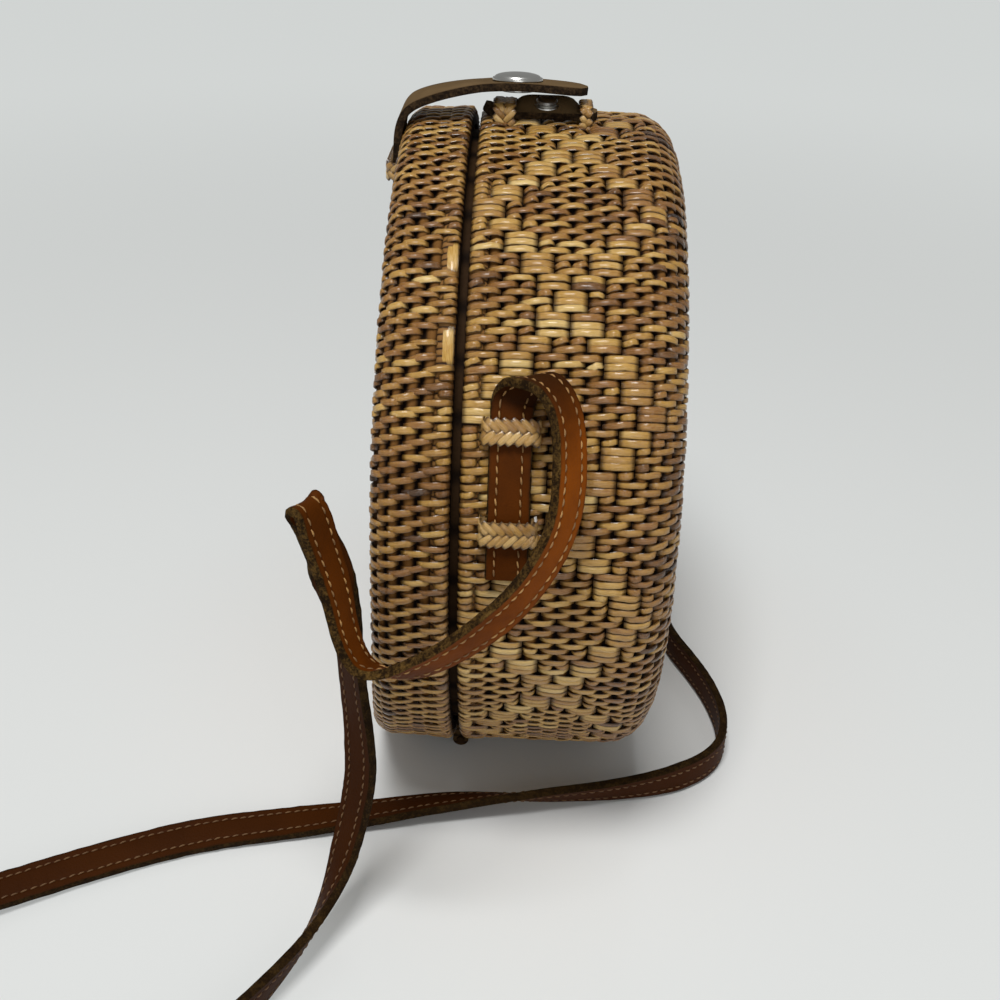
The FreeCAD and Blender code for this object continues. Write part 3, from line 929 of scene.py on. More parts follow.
@dataclass
class Strands:
    """Many short strands on one surface, copied from a rod that is modelled once.

    Every list holds one number per strand. A strand starts at (run, side) on the surface, goes
    by (run_step, side_step) and arches over its middle.
    """

    run: list[float] = field(default_factory=list)
    side: list[float] = field(default_factory=list)
    run_step: list[float] = field(default_factory=list)
    side_step: list[float] = field(default_factory=list)
    width: list[float] = field(default_factory=list)
    thick: list[float] = field(default_factory=list)
    rise: list[float] = field(default_factory=list)
    base: list[float] = field(default_factory=list)
    taper: list[float] = field(default_factory=list)
    tint: list[float] = field(default_factory=list)
    FLATNESS: ClassVar[float] = 0.55
    SLIM_POWER: ClassVar[float] = 0.6
    ARCH_POWER: ClassVar[float] = 0.5
    STRAY_UP: ClassVar[float] = 0.6
    THICK_LEAST: ClassVar[float] = 0.55
    THICK_SPAN: ClassVar[float] = 0.45
    SMOOTH_ANGLE: ClassVar[float] = 75.0

    def add(self, **numbers: float) -> None:
        """Add one strand; every field is named."""
        for name, number in numbers.items():
            getattr(self, name).append(number)

    @staticmethod
    def rod(sides: int, lengths: int) -> tuple[np.ndarray, np.ndarray, list[tuple[int, ...]]]:
        """Model the rod: a primitive cut across into lengths.

        Args:
            sides: sides of its section.
            lengths: number of lengths.

        Returns:
            Share along it, its section as (across, up), and its faces.
        """
        Bench.start()
        bpy.ops.mesh.primitive_cylinder_add(vertices=sides, radius=1.0, depth=1.0)
        piece = bpy.context.object
        Bench.open(piece)
        for cut in range(1, lengths):
            bpy.ops.mesh.select_all(action="SELECT")
            bpy.ops.mesh.bisect(plane_co=(0, 0, cut / lengths - 0.5), plane_no=(0, 0, 1))
        bpy.ops.object.mode_set(mode="OBJECT")
        places = Bench.points(piece)
        faces = [tuple(face.vertices) for face in piece.data.polygons]
        bpy.data.meshes.remove(piece.data)
        return places[:, 2] + 0.5, np.stack([places[:, 1], -places[:, 0]], 1), faces

    def lay(
        self, name: str, surface: Surface, crest: float, sides: int = 6, lengths: int = 5, wobble: float = 0.0
    ) -> bpy.types.Object:
        """Copy the rod to every strand.

        Args:
            name: object name.
            surface: gives places from run, side and height.
            crest: power that moves the arch's top; above 1 towards the strand's end.
            sides: sides of the rod.
            lengths: lengths of the rod.
            wobble: how far the rod strays at each cut, in metres.

        Returns:
            One piece with all the strands.
        """
        share, section, faces = self.rod(sides, lengths)
        count = len(self.run)
        rng = np.random.default_rng(count)
        cuts = np.rint(share * lengths).astype(int)
        stray = rng.normal(0.0, wobble, (2, count, lengths + 1))[:, :, cuts]
        each = {key: np.array(values, float)[:, None] for key, values in vars(self).items()}
        along = share[None, :]
        arch = np.sin(math.pi * along ** crest).clip(0.0, 1.0)
        slim = 1.0 - each["taper"] * (1.0 - arch ** self.SLIM_POWER)
        flat = np.sign(section[:, 0]) * np.abs(section[:, 0]) ** self.FLATNESS
        aside = flat[None, :] * each["width"] / 2 * slim + stray[0]
        size = np.hypot(each["run_step"], each["side_step"])
        ahead_run = each["run_step"] / size
        ahead_side = each["side_step"] / size
        run = each["run"] + each["run_step"] * along - ahead_side * aside
        side = each["side"] + each["side_step"] * along + ahead_run * aside
        height = each["base"] + each["rise"] * arch ** self.ARCH_POWER + stray[1] * self.STRAY_UP
        fullness = self.THICK_LEAST + self.THICK_SPAN * slim
        height = height + section[None, :, 1] * each["thick"] / 2 * fullness
        places = surface(run, side, height).reshape(-1, 3)
        piece = self._copies(name, places, faces, count, len(share))
        Bench.store(
            piece,
            along=np.broadcast_to(along, run.shape),
            across=np.broadcast_to(section[None, :, 0], run.shape),
            tint=np.broadcast_to(each["tint"], run.shape),
        )
        Bench.smooth(piece, self.SMOOTH_ANGLE)
        return piece

    @staticmethod
    def _copies(
        name: str, places: np.ndarray, faces: list[tuple[int, ...]], count: int, size: int
    ) -> bpy.types.Object:
        """Mesh of many copies of the same faces.

        Args:
            name: object name.
            places: all vertices, copy after copy.
            faces: faces of one copy.
            count: number of copies.
            size: vertices of one copy.

        Returns:
            The piece.
        """
        corners = np.array([corner for face in faces for corner in face])
        sizes = np.array([len(face) for face in faces])
        starts = np.concatenate([[0], np.cumsum(sizes)[:-1]])
        shift = np.arange(count)[:, None]
        mesh = bpy.data.meshes.new(name)
        mesh.vertices.add(count * size)
        mesh.vertices.foreach_set("co", places.astype(np.float32).ravel())
        mesh.loops.add(count * len(corners))
        links = corners[None, :] + shift * size
        mesh.loops.foreach_set("vertex_index", links.astype(np.int32).ravel())
        mesh.polygons.add(count * len(faces))
        firsts = starts[None, :] + shift * len(corners)
        mesh.polygons.foreach_set("loop_start", firsts.astype(np.int32).ravel())
        mesh.update(calc_edges=True)
        mesh.validate()
        return Bench.add(name, mesh)


@dataclass(frozen=True)
class Lamp:
    """Square soft lamp: name, place and side in metres, and power in watts."""

    name: str
    place: tuple[float, float, float]
    size: float
    power: float


@dataclass
class Studio:
    """Camera, lamps and a pale floor."""

    camera_place: Vector = field(default_factory=lambda: Vector((-0.00012, -0.38242, 0.28625)))
    yaw: float = math.radians(0.82)
    pitch: float = math.radians(29.17)
    roll: float = math.radians(-1.8)
    lens: float = 46.8
    sensor: float = 36.0
    clip_start: float = 0.01
    lamps: tuple[Lamp, ...] = (
        Lamp("key", (-0.1, -0.46, 1.2), 0.36, 11.2),
        Lamp("fill", (0.1, -1.3, 0.5), 0.8, 3.2),
    )
    sky_colour: Colour = (0.9, 0.9, 0.88)
    sky_strength: float = 0.3
    floor_size: float = 6.0

    def camera(self) -> None:
        """Place the camera as the photograph was taken."""
        yaw, pitch, roll = self.yaw, self.pitch, self.roll
        right = Vector((math.cos(yaw), math.sin(yaw), 0.0))
        ahead = Vector((-math.sin(yaw) * math.cos(pitch), math.cos(yaw) * math.cos(pitch), -math.sin(pitch)))
        down = ahead.cross(right)
        level = right * math.cos(roll) + down * math.sin(roll)
        down = down * math.cos(roll) - right * math.sin(roll)
        data = bpy.data.cameras.new("camera")
        data.lens = self.lens
        data.sensor_width = self.sensor
        data.clip_start = self.clip_start
        piece = Bench.add("camera", data)
        turn = Matrix((level, -down, -ahead)).transposed().to_4x4()
        piece.matrix_world = Matrix.Translation(self.camera_place) @ turn
        bpy.context.scene.camera = piece

    @staticmethod
    def hang(lamp: Lamp) -> None:
        """Add a lamp that faces the bag.

        Args:
            lamp: the lamp.
        """
        data = bpy.data.lights.new(lamp.name, "AREA")
        data.size = lamp.size
        data.energy = lamp.power
        piece = Bench.add(lamp.name, data)
        piece.location = lamp.place
        target = Vector((0.0, 0.0, DRUM.axis_z))
        piece.rotation_euler = (target - Vector(lamp.place)).to_track_quat("-Z", "Y").to_euler()

    def build(self) -> None:
        """Set the camera, lamps, world and floor."""
        scene = bpy.context.scene
        scene.view_settings.view_transform = "Standard"
        self.camera()
        for lamp in self.lamps:
            self.hang(lamp)
        world = bpy.data.worlds.new("studio")
        world.use_nodes = True
        sky = world.node_tree.nodes["Background"]
        sky.inputs["Color"].default_value = (*self.sky_colour, 1.0)
        sky.inputs["Strength"].default_value = self.sky_strength
        scene.world = world
        Bench.start()
        bpy.ops.mesh.primitive_plane_add(size=self.floor_size, location=(0.0, 0.0, 0.0))
        floor = bpy.context.object
        floor.name = "floor"
        floor.data.materials.append(BOARD.material())


@dataclass
class ShoulderStrap:
    """Flat stitched strap: its free lie and the two ends under their loops."""

    width: float = 0.0108
    thick: float = 0.0026
    seat: float = 0.0006
    x: float = -0.002
    groove: float = 0.14
    ragged: float = 0.012
    ragged_from: float = 0.9
    ragged_seed: int = 11
    smooth_angle: float = 35.0
    stitch_pitch: float = 0.0027
    stitch_length: float = 0.002
    stitch_row: float = 0.57
    stitch_first: float = 0.001
    stitch_stray: float = 0.0001
    stitch_lean: float = 0.00025
    stitch_seed: int = 5
    thread_width: float = 0.00048
    thread_thick: float = 0.00045
    thread_rise: float = 0.0003
    thread_sink: float = 0.00025
    thread_taper: float = 0.3
    thread_tones: Span = (0.2, 1.0)
    # Painted shade on the stitches farther along the strap: its strength, its length of growth, and its start
    # in such lengths.
    thread_shade: float = 0.85
    thread_shade_length: float = 0.08
    thread_shade_lag: float = 2.4
    back_mark: float = 2.0
    route: tuple[tuple[float, float, float], ...] = (
        (-0.0019, -0.0882, 0.151), (0.0014, -0.0893, 0.1572), (0.0074, -0.0955, 0.1585),
        (0.0118, -0.1035, 0.153), (0.0126, -0.111, 0.139), (0.011, -0.115, 0.128), (0.005, -0.119, 0.117),
        (-0.0035, -0.1225, 0.1075), (-0.0165, -0.1247, 0.0976), (-0.028, -0.1245, 0.0915),
        (-0.0366, -0.1238, 0.0928), (-0.0405, -0.1225, 0.101), (-0.0424, -0.1212, 0.1135),
        (-0.0458, -0.12, 0.126), (-0.0482, -0.119, 0.1352), (-0.0505, -0.1173, 0.1348),
        (-0.0474, -0.1143, 0.1245), (-0.0446, -0.1115, 0.111), (-0.042, -0.109, 0.094),
        (-0.0412, -0.1085, 0.077), (-0.0397, -0.1095, 0.061), (-0.0395, -0.1105, 0.047),
        (-0.0415, -0.1125, 0.0345), (-0.044, -0.116, 0.024), (-0.047, -0.1215, 0.015),
        (-0.051, -0.13, 0.009), (-0.057, -0.142, 0.007), (-0.066, -0.158, 0.0066),
        (-0.079, -0.176, 0.0065), (-0.099, -0.189, 0.0064), (-0.122, -0.193, 0.0064),
        (-0.145, -0.187, 0.0064), (-0.163, -0.171, 0.0064), (-0.171, -0.151, 0.0066),
        (-0.166, -0.133, 0.0062), (-0.146, -0.1195, 0.0048), (-0.12, -0.1035, 0.0034),
        (-0.093, -0.0905, 0.0032), (-0.067, -0.084, 0.003), (-0.043, -0.0782, 0.003),
        (-0.017, -0.073, 0.0051), (0.014, -0.07, 0.0063), (0.038, -0.066, 0.0066),
        (0.057, -0.059, 0.0064), (0.0695, -0.048, 0.0064), (0.073, -0.033, 0.0063),
        (0.071, -0.016, 0.0062), (0.0655, 0.001, 0.0062), (0.0585, 0.017, 0.0062), (0.056, 0.037, 0.0062),
        (0.057, 0.058, 0.0064), (0.054, 0.08, 0.008), (0.045, 0.098, 0.015), (0.033, 0.11, 0.029),
        (0.022, 0.116, 0.049), (0.013, 0.1185, 0.071), (0.006, 0.119, 0.093), (0.0015, 0.1175, 0.115),
        (-0.0008, 0.1145, 0.135), (-0.0016, 0.109, 0.15), (-0.0018, 0.1, 0.1605), (-0.0018, 0.091, 0.161),
        (-0.0019, 0.0882, 0.1546),
    )
    edge_way: tuple[tuple[float, tuple[float, float, float]], ...] = (
        (0, (-1, 0, 0)), (1, (-1, -0.08, 0)), (3, (-0.55, -0.83, 0.1)), (5, (-0.62, -0.66, 0.3)),
        (8, (-0.4, -0.44, 0.79)), (9.5, (-0.3, -0.6, 0.72)), (10.5, (-0.25, -0.82, 0.5)),
        (11.5, (-0.22, -0.94, 0.2)), (13, (-0.36, -0.92, 0.05)), (14.5, (-0.5, -0.82, 0.3)),
        (16, (-0.36, -0.92, 0.05)), (17.3, (-0.5, -0.84, -0.05)), (18.3, (-0.85, 0.3, -0.15)),
        (19.2, (-0.58, 0.78, -0.25)), (20.2, (-0.6, 0.74, -0.3)), (21.5, (-0.7, 0.62, -0.3)),
        (24, (-0.65, 0.6, -0.45)), (26, (-0.25, 0.6, -0.8)), (28, (0, 0.2, -1)), (33, (0, 0, -1)),
        (35, (-0.2, 0.7, -0.6)), (36, (-0.33, 0.9, 0.28)), (38, (-0.28, 0.92, 0.26)),
        (39, (-0.25, 0.95, 0.16)), (41, (-0.1, 0.92, -0.35)), (42, (-0.05, 0.6, -0.8)),
        (44, (0, 0.1, -1)), (51, (0, 0, -1)), (54, (-0.7, 0, -0.7)), (57, (-1, 0, -0.2)),
        (60, (-1, 0, 0)), (64, (-1, 0, 0)),
    )
    end_turns: tuple[float, ...] = (3.7, 10.0, 16.0, 22.0, 28.0)

    def controls(self) -> list[Vector]:
        """List the control points.

        Returns:
            The near end on the drum, the free route and the far end.
        """
        radius = DRUM.radius + self.seat + self.thick / 2
        near = [DRUM.point(self.x, radius, math.radians(turn)) for turn in self.end_turns]
        far = [Vector((point.x, -point.y, point.z)) for point in reversed(near)]
        return near + [Vector(point) for point in self.route] + far

    def ways(self, count: int, controls: int) -> np.ndarray:
        """Way that the strap's marked edge points at every point of the curve.

        Args:
            count: number of points on the curve.
            controls: number of control points.

        Returns:
            Directions, one row each.
        """
        before = len(self.end_turns) - 1
        keys = np.array([key + before for key, _ in self.edge_way], float)
        values = np.array([way for _, way in self.edge_way], float)
        where = np.linspace(0.0, controls - 2.0, count) + 0.5
        return np.stack([np.interp(where, keys, values[:, axis]) for axis in range(3)], 1)

    def frames(self) -> tuple[np.ndarray, np.ndarray, np.ndarray, np.ndarray]:
        """Read the strap's curve.

        Returns:
            Points, edge ways, face ways and distances along the strap.
        """
        controls = self.controls()
        places = Bench.spline(controls)
        ways = self.ways(len(places), len(controls))
        ahead = np.gradient(places, axis=0)
        ahead /= np.linalg.norm(ahead, axis=1, keepdims=True)
        ways -= ahead * (ways * ahead).sum(1, keepdims=True)
        ways /= np.linalg.norm(ways, axis=1, keepdims=True)
        out = np.cross(ahead, ways)
        steps = np.linalg.norm(np.diff(places, axis=0), axis=1)
        LOG.info("strap steps from %.5f to %.5f m", steps.min(), steps.max())
        return places, ways, out, np.concatenate([[0.0], np.cumsum(steps)])

    def section(self) -> tuple[np.ndarray, int]:
        """Outline of the section, in halves of the strap's width and thickness.

        Returns:
            The outline, and how many of its sides are one leather face.
        """
        row = self.stitch_row
        half = [(row - self.groove, 1.0), (row, 0.95), (row + self.groove, 1.0), (0.95, 0.98)]
        face = [(-across, up) for across, up in reversed(half)] + [(0.0, 1.03)] + half
        edge = [(1.0, 0.7), (1.01, 0.0), (1.0, -0.7)]
        other = [(-across, -up) for across, up in face]
        back = [(-across, -up) for across, up in edge]
        return np.array(face + edge + other + back), len(face) - 1

    def build(self) -> None:
        places, ways, out, distance = self.frames()
        section, face_sides = self.section()
        size = len(section)
        rng = np.random.default_rng(self.ragged_seed)
        on_edge = np.abs(section[None, :, :1]) > self.ragged_from
        ragged = 1.0 + rng.normal(0.0, self.ragged, (len(places), size, 1)) * on_edge
        across = ways[:, None, :] * section[None, :, :1] * self.width / 2 * ragged
        up = out[:, None, :] * section[None, :, 1:] * self.thick / 2
        rings = places[:, None, :] + across + up
        faces = []
        for ring in range(len(places) - 1):
            for side in range(size):
                after = (side + 1) % size
                low, high = ring * size, (ring + 1) * size
                faces.append((low + side, high + side, high + after, low + after))
        last = (len(places) - 1) * size
        faces.append(tuple(range(size)))
        faces.append(tuple(last + side for side in reversed(range(size))))
        mesh = bpy.data.meshes.new("shoulder_strap_leather")
        mesh.from_pydata(rings.reshape(-1, 3).tolist(), [], faces)
        strap = Bench.add("shoulder_strap_leather", mesh)
        Bench.open(strap)
        Bench.close(merge=False)
        leather = [side < face_sides or size / 2 <= side < size / 2 + face_sides for side in range(size)]
        kinds = [0 if kind else 1 for kind in leather] * (len(places) - 1) + [1, 1]
        Bench.store(strap, across=np.tile(section[:, 0], len(places)), along=np.repeat(distance, size))
        Bench.dress(strap, Body.BODY, Slot.STRAP, STRAP_LEATHER.material(), RAW_EDGE.material())
        strap.data.polygons.foreach_set("material_index", kinds)
        Bench.smooth(strap, self.smooth_angle)
        stitches = self.stitches(places, ways, out, distance)
        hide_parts("shoulder_strap", "strap_end_near", "strap_end_far")

    def stitches(
        self, places: np.ndarray, ways: np.ndarray, out: np.ndarray, distance: np.ndarray
    ) -> bpy.types.Object:
        """Two rows of stitches on both faces; a mark added to the side tells the back.

        Args:
            places: points along the strap.
            ways: edge ways.
            out: face ways.
            distance: distances along the strap.

        Returns:
            One piece with all the stitches.
        """

        def surface(run: np.ndarray, side: np.ndarray, height: np.ndarray) -> np.ndarray:
            """Places on the front or the back.

            Args:
                run: distance along the strap.
                side: place across it, past the mark on the back.
                height: distance from the strap's middle.

            Returns:
                The places.
            """
            near, edge, face = (
                np.stack([np.interp(run, distance, table[:, axis]) for axis in range(3)], -1)
                for table in (places, ways, out)
            )
            behind = np.abs(side) > self.back_mark / 2
            across = side - np.sign(side) * self.back_mark * behind
            turned = np.where(behind, -1.0, 1.0)
            return near + edge * across[..., None] + face * (turned * height)[..., None]

        rng = np.random.default_rng(self.stitch_seed)
        rows = Strands()
        for start in np.arange(self.stitch_first, distance[-1] - self.stitch_length, self.stitch_pitch):
            # Painted shade: farther along the strap the stitches darken with the leather, where the strap
            # lies in shadow.
            shaded_thread = self.thread_shade * float(np.clip(start / self.thread_shade_length - self.thread_shade_lag, 0.0, 1.0))
            for row in (-1, 1):
                for back in (0.0, self.back_mark):
                    rows.add(
                        run=start + rng.normal(0, self.stitch_stray),
                        side=row * (self.stitch_row * self.width / 2 + back),
                        run_step=self.stitch_length,
                        side_step=rng.normal(self.stitch_lean, self.stitch_stray),
                        width=self.thread_width,
                        thick=self.thread_thick,
                        rise=self.thread_rise,
                        base=self.thick / 2 - self.thread_sink,
                        taper=self.thread_taper,
                        tint=rng.uniform(*self.thread_tones) * (1.0 - shaded_thread),
                    )
        piece = rows.lay("shoulder_strap_stitches", surface, 1.0, lengths=3)
        Bench.dress(piece, Body.BODY, Slot.STRAP, THREAD.material())
        return piece


@dataclass
class WovenHalf:
    """One half of the drum: hoops, strands along the drum and a woven round face.

    The blocks are the flat stitches of the wall's motif, and a bare turn is a stretch of the first
    hoop that shows between the strands. Pairs are the least and the most of a random share.
    """

    body: Body
    rim: float
    face: float
    cores: int
    face_cores: int
    rows: int = 296
    crest: float = 1.25
    core_height: float = -0.0011
    core_depth: float = 0.0013
    wall: float = 0.005
    strand_width: float = 0.00195
    strand_thick: float = 0.0008
    strand_rise: float = 0.0015
    short_rise: float = 0.0013
    motif_middle: Optional[int] = None
    motif_reach: int = 5
    motif_periods: int = 11
    motif_turn: float = 12.0
    open_end: float = 0.0002
    bare_turns: tuple[tuple[float, float], ...] = ()
    tone: float = 0.5
    slant: float = 0.0
    climb: float = 0.0
    lean: float = 0.0
    lean_in: float = 0.0
    seeds: tuple[int, int] = (23, 31)
    turn_steps: int = 120
    hoop_steps: int = 6
    smooth_angle: float = 60.0
    wobble: float = 0.00007
    row_tone: float = 0.06
    strand_tone: float = 0.09
    # Painted shade towards the back of the wall.
    back_shade: float = 0.2
    back_shade_from: float = 0.45
    odd_tone: float = 0.2
    odd_share: float = 0.03
    tone_limits: Span = (0.02, 1.0)
    rises: Span = (0.9, 1.08)
    widths: Span = (0.86, 1.1)
    ends: Span = (0.6, 1.2)
    sink: float = 0.00025
    first_lift: float = 0.0005
    slant_stray: float = 0.00035
    side_stray: float = 0.00016
    taper: float = 0.2
    block_tone: float = 0.1
    block_rise: float = 0.66
    block_width: float = 1.02
    block_end: float = 0.0001
    block_stray: float = 0.00008
    block_taper: float = 0.1
    bare_width: float = 0.0034
    bare_thick: float = 0.0012
    bare_rise: float = 0.0003
    bare_sink: float = 0.0014
    bare_drift: float = 0.00001
    bare_taper: float = 0.05
    bare_tone: float = 0.66
    face_crowd: float = 0.86
    face_fewest: int = 6
    face_tone: float = 0.52
    face_strand_tone: float = 0.11
    face_odd_share: float = 0.04
    face_rises: Span = (0.85, 1.05)
    face_widths: Span = (0.94, 1.05)
    face_lap: float = 0.0003
    face_stray: float = 0.0002
    face_taper: float = 0.35
    rim_points: int = 14
    rim_fill: Span = (0.97, 0.9)
    rim_drop: float = 0.0004

    @property
    def toward(self) -> float:
        """Sign of X from the rim to the face."""
        return 1.0 if self.face > self.rim else -1.0

    @property
    def edge(self) -> float:
        """Radius of the rounded outer edge."""
        return DRUM.edge(self.body)

    @property
    def wall_length(self) -> float:
        """Straight length of the wall along the drum."""
        return abs(self.face - self.rim) - self.edge

    @property
    def bend_end(self) -> float:
        """Distance from the rim to the end of the rounded edge, along the surface."""
        return self.wall_length + self.edge * math.pi / 2

    @property
    def pitch(self) -> float:
        """Distance between two hoops of the wall and the rounded edge."""
        return self.bend_end / self.cores

    @property
    def face_pitch(self) -> float:
        """Distance between two hoops of the round face."""
        return (DRUM.radius - self.edge) / self.face_cores

    def profile(self, run: np.ndarray, height: np.ndarray) -> tuple[np.ndarray, np.ndarray]:
        """Place on the half's outline.

        Args:
            run: distance from the rim along the surface.
            height: distance out of the surface.

        Returns:
            X and the distance from the drum's axis.
        """
        turn = np.clip((run - self.wall_length) / self.edge, 0.0, math.pi / 2)
        straight = np.minimum(run, self.wall_length)
        inward = np.maximum(run - self.bend_end, 0.0)
        x = self.rim + self.toward * (straight + (self.edge + height) * np.sin(turn))
        radius = DRUM.radius - self.edge + (self.edge + height) * np.cos(turn) - inward
        return x, np.maximum(radius, 0.0)

    def surface(self, run: np.ndarray, side: np.ndarray, height: np.ndarray) -> np.ndarray:
        """Places on the wall and the rounded edge.

        Args:
            run: distance from the rim along the surface.
            side: arc round the drum.
            height: distance out of the surface.

        Returns:
            The places.
        """
        x, radius = self.profile(run, height)
        turn = side / DRUM.radius
        return self.leaned(np.stack([x, -radius * np.cos(turn), DRUM.axis_z + radius * np.sin(turn)], -1))

    def leaned(self, places: np.ndarray) -> np.ndarray:
        """Push the lower part out and the upper part in along the drum, as the real half leans.

        Args:
            places: places on the upright half, which are moved.

        Returns:
            The same places.
        """
        depth = (places[..., 0] - self.rim) / (self.face - self.rim)
        low = np.clip((DRUM.axis_z - places[..., 2]) / DRUM.radius, -1.0, 1.0)
        shift = np.where(low > 0.0, self.lean, -self.lean_in) * low ** 2
        places[..., 0] += self.toward * shift * np.clip(depth, 0.0, 1.0)
        return places

    def hoops(self) -> None:
        """Turn the hoops that carry the strands, closed by a plain inner wall."""
        steps = self.hoop_steps
        runs = [(core + step / steps) * self.pitch for core in range(self.cores) for step in range(steps)]
        lifts = [math.sin(math.pi * step / steps) for _ in range(self.cores) for step in range(steps)]
        inner = [(core + step / steps) for core in range(self.face_cores) for step in range(steps)]
        runs += [self.bend_end + share * self.face_pitch for share in inner]
        lifts += [math.sin(math.pi * (share % 1.0)) for share in inner]
        lift = np.array(lifts)
        x, radius = self.profile(np.array(runs), self.core_height - self.core_depth * (1.0 - lift))
        flat = self.rim + self.toward * (self.wall_length + self.edge + self.core_height - self.core_depth)
        back = self.face - self.toward * self.wall
        inside = DRUM.radius - self.wall
        points = list(zip(x, radius)) + [
            (flat, 0.0),
            (back, 0.0),
            (back, DRUM.radius - self.edge),
            (back - self.toward * (self.edge - self.wall), inside),
            (self.rim, inside),
        ]
        piece = DRUM.turned(self.body.value + "_hoops", points, self.turn_steps, True)
        places = Bench.points(piece)
        reach = np.hypot(places[:, 1], places[:, 2] - DRUM.axis_z)
        order = np.argsort(radius)
        wall = slice(self.cores * steps)
        on_wall = np.interp(places[:, 0] * self.toward, x[wall] * self.toward, lift[wall])
        on_face = np.interp(reach, radius[order], lift[order])
        flat_part = reach < DRUM.radius - self.edge
        Bench.store(piece, lift=np.where(flat_part, on_face, on_wall))
        Bench.move(piece, self.leaned(places))
        Bench.smooth(piece, self.smooth_angle)
        Bench.dress(piece, self.body, Slot.VINE, CORE.material())
        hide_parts(self.body.value + "_basket")

    def blocks(self, row: int) -> list[int]:
        """Find the motif's blocks in one row.

        Args:
            row: number of the row.

        Returns:
            The first hoop of each block.
        """
        if self.motif_middle is None:
            return []
        half = self.motif_reach
        step_rows = self.rows / self.motif_periods / (2 * half)
        first = self.motif_turn / 360.0 * self.rows - step_rows / 2
        step = math.floor((row - first) / step_rows) % (2 * half)
        away = step if step <= half else 2 * half - step
        return sorted({self.motif_middle - away, self.motif_middle + away})

    def row_spans(self, row: int) -> list[tuple[int, int, bool]]:
        """Split one row into strands.

        Args:
            row: number of the row.

        Returns:
            First hoop, number of hoops, and whether the strand is part of a block.
        """
        blocks = self.blocks(row)
        taken = {core for block in blocks for core in (block, block + 1)}
        spans = [(block, 2, True) for block in blocks]
        core = 0
        while core < self.cores:
            if core in taken:
                core += 1
                continue
            pair = (core - row) % 2 == 0 and core + 1 < self.cores and core + 1 not in taken
            spans.append((core, 2 if pair else 1, False))
            core += 2 if pair else 1
        return spans

    def shade(self, tint: float) -> float:
        """Tint kept within the limits of the finish."""
        return float(np.clip(tint, *self.tone_limits))

    def wall_weave(self) -> None:
        """Weave the wall and the rounded edge, row by row."""
        rng = np.random.default_rng(self.seeds[0])
        strands = Strands()
        arc = 2 * math.pi * DRUM.radius / self.rows
        tints = self.tone + rng.normal(0.0, self.row_tone, self.rows)
        for row in range(self.rows):
            turn = row * 360.0 / self.rows
            for core, count, block in self.row_spans(row):
                if core == 0 and any(low < turn < high for low, high in self.bare_turns):
                    continue
                tint = tints[row] + rng.normal(0.0, self.strand_tone) + (self.block_tone if block else 0.0)
                # Painted shade: strands darken towards the back of the body's wall, the side that the light
                # reaches less.
                if self.motif_middle is not None:
                    tint -= self.back_shade * max(0.0, (core + count) / self.cores - self.back_shade_from)
                if rng.uniform() < self.odd_share:
                    tint -= self.odd_tone
                rise = self.strand_rise if count == 2 else self.short_rise
                end = self.block_end
                if block:
                    rise *= self.block_rise
                    width = arc * self.block_width
                    slant = rng.normal(0.0, self.block_stray)
                    sink = 0.0
                else:
                    rise *= rng.uniform(*self.rises)
                    width = self.strand_width * rng.uniform(*self.widths)
                    if count == 2:
                        end = self.open_end * rng.uniform(*self.ends)
                    slant = self.slant + rng.normal(0.0, self.slant_stray)
                    sink = rng.uniform(0.0, self.sink)
                if core == 0:
                    sink -= self.first_lift
                strands.add(
                    run=core * self.pitch + end,
                    side=row * arc + core * self.climb - slant / 2 + rng.normal(0.0, self.side_stray),
                    run_step=count * self.pitch - 2 * end,
                    side_step=slant,
                    width=width,
                    thick=self.strand_thick,
                    rise=rise,
                    base=-rise - self.strand_thick / 2 - sink,
                    taper=self.block_taper if block else self.taper,
                    tint=self.shade(tint),
                )
        for turns in self.bare_turns:
            start, stop = (math.radians(turn) * DRUM.radius for turn in turns)
            strands.add(
                run=self.pitch / 2,
                side=start,
                run_step=self.bare_drift,
                side_step=stop - start,
                width=self.bare_width,
                thick=self.bare_thick,
                rise=self.bare_rise,
                base=-self.bare_sink,
                taper=self.bare_taper,
                tint=self.bare_tone,
            )
        name = self.body.value + "_wall_weave"
        piece = strands.lay(name, self.surface, self.crest, wobble=self.wobble)
        Bench.dress(piece, self.body, Slot.VINE, VINE.material())

    def face_weave(self) -> None:
        """Weave the round face, ring by ring towards its middle."""
        rng = np.random.default_rng(self.seeds[1])
        strands = Strands()
        gap = 2 * self.strand_width * self.face_crowd
        for core in range(self.face_cores - 1):
            radius = (self.face_cores - core - 1) * self.face_pitch
            count = max(self.face_fewest, round(2 * math.pi * radius / gap))
            spread = DRUM.radius / radius
            for place in range(count):
                turn = (place + 0.5 * (core % 2)) * 2 * math.pi / count
                tint = self.face_tone + rng.normal(0.0, self.face_strand_tone)
                if rng.uniform() < self.face_odd_share:
                    tint -= self.odd_tone
                rise = self.strand_rise * rng.uniform(*self.face_rises)
                strands.add(
                    run=self.bend_end + core * self.face_pitch - self.face_lap,
                    side=turn * DRUM.radius,
                    run_step=2 * self.face_pitch + 2 * self.face_lap,
                    side_step=rng.normal(0.0, self.face_stray) * spread,
                    width=self.strand_width * spread * rng.uniform(*self.face_widths),
                    thick=self.strand_thick,
                    rise=rise,
                    base=-rise - self.strand_thick / 2,
                    taper=self.face_taper,
                    tint=self.shade(tint),
                )
        name = self.body.value + "_face_weave"
        piece = strands.lay(name, self.face_surface, 1.0, wobble=self.wobble)
        Bench.dress(piece, self.body, Slot.VINE, VINE.material())

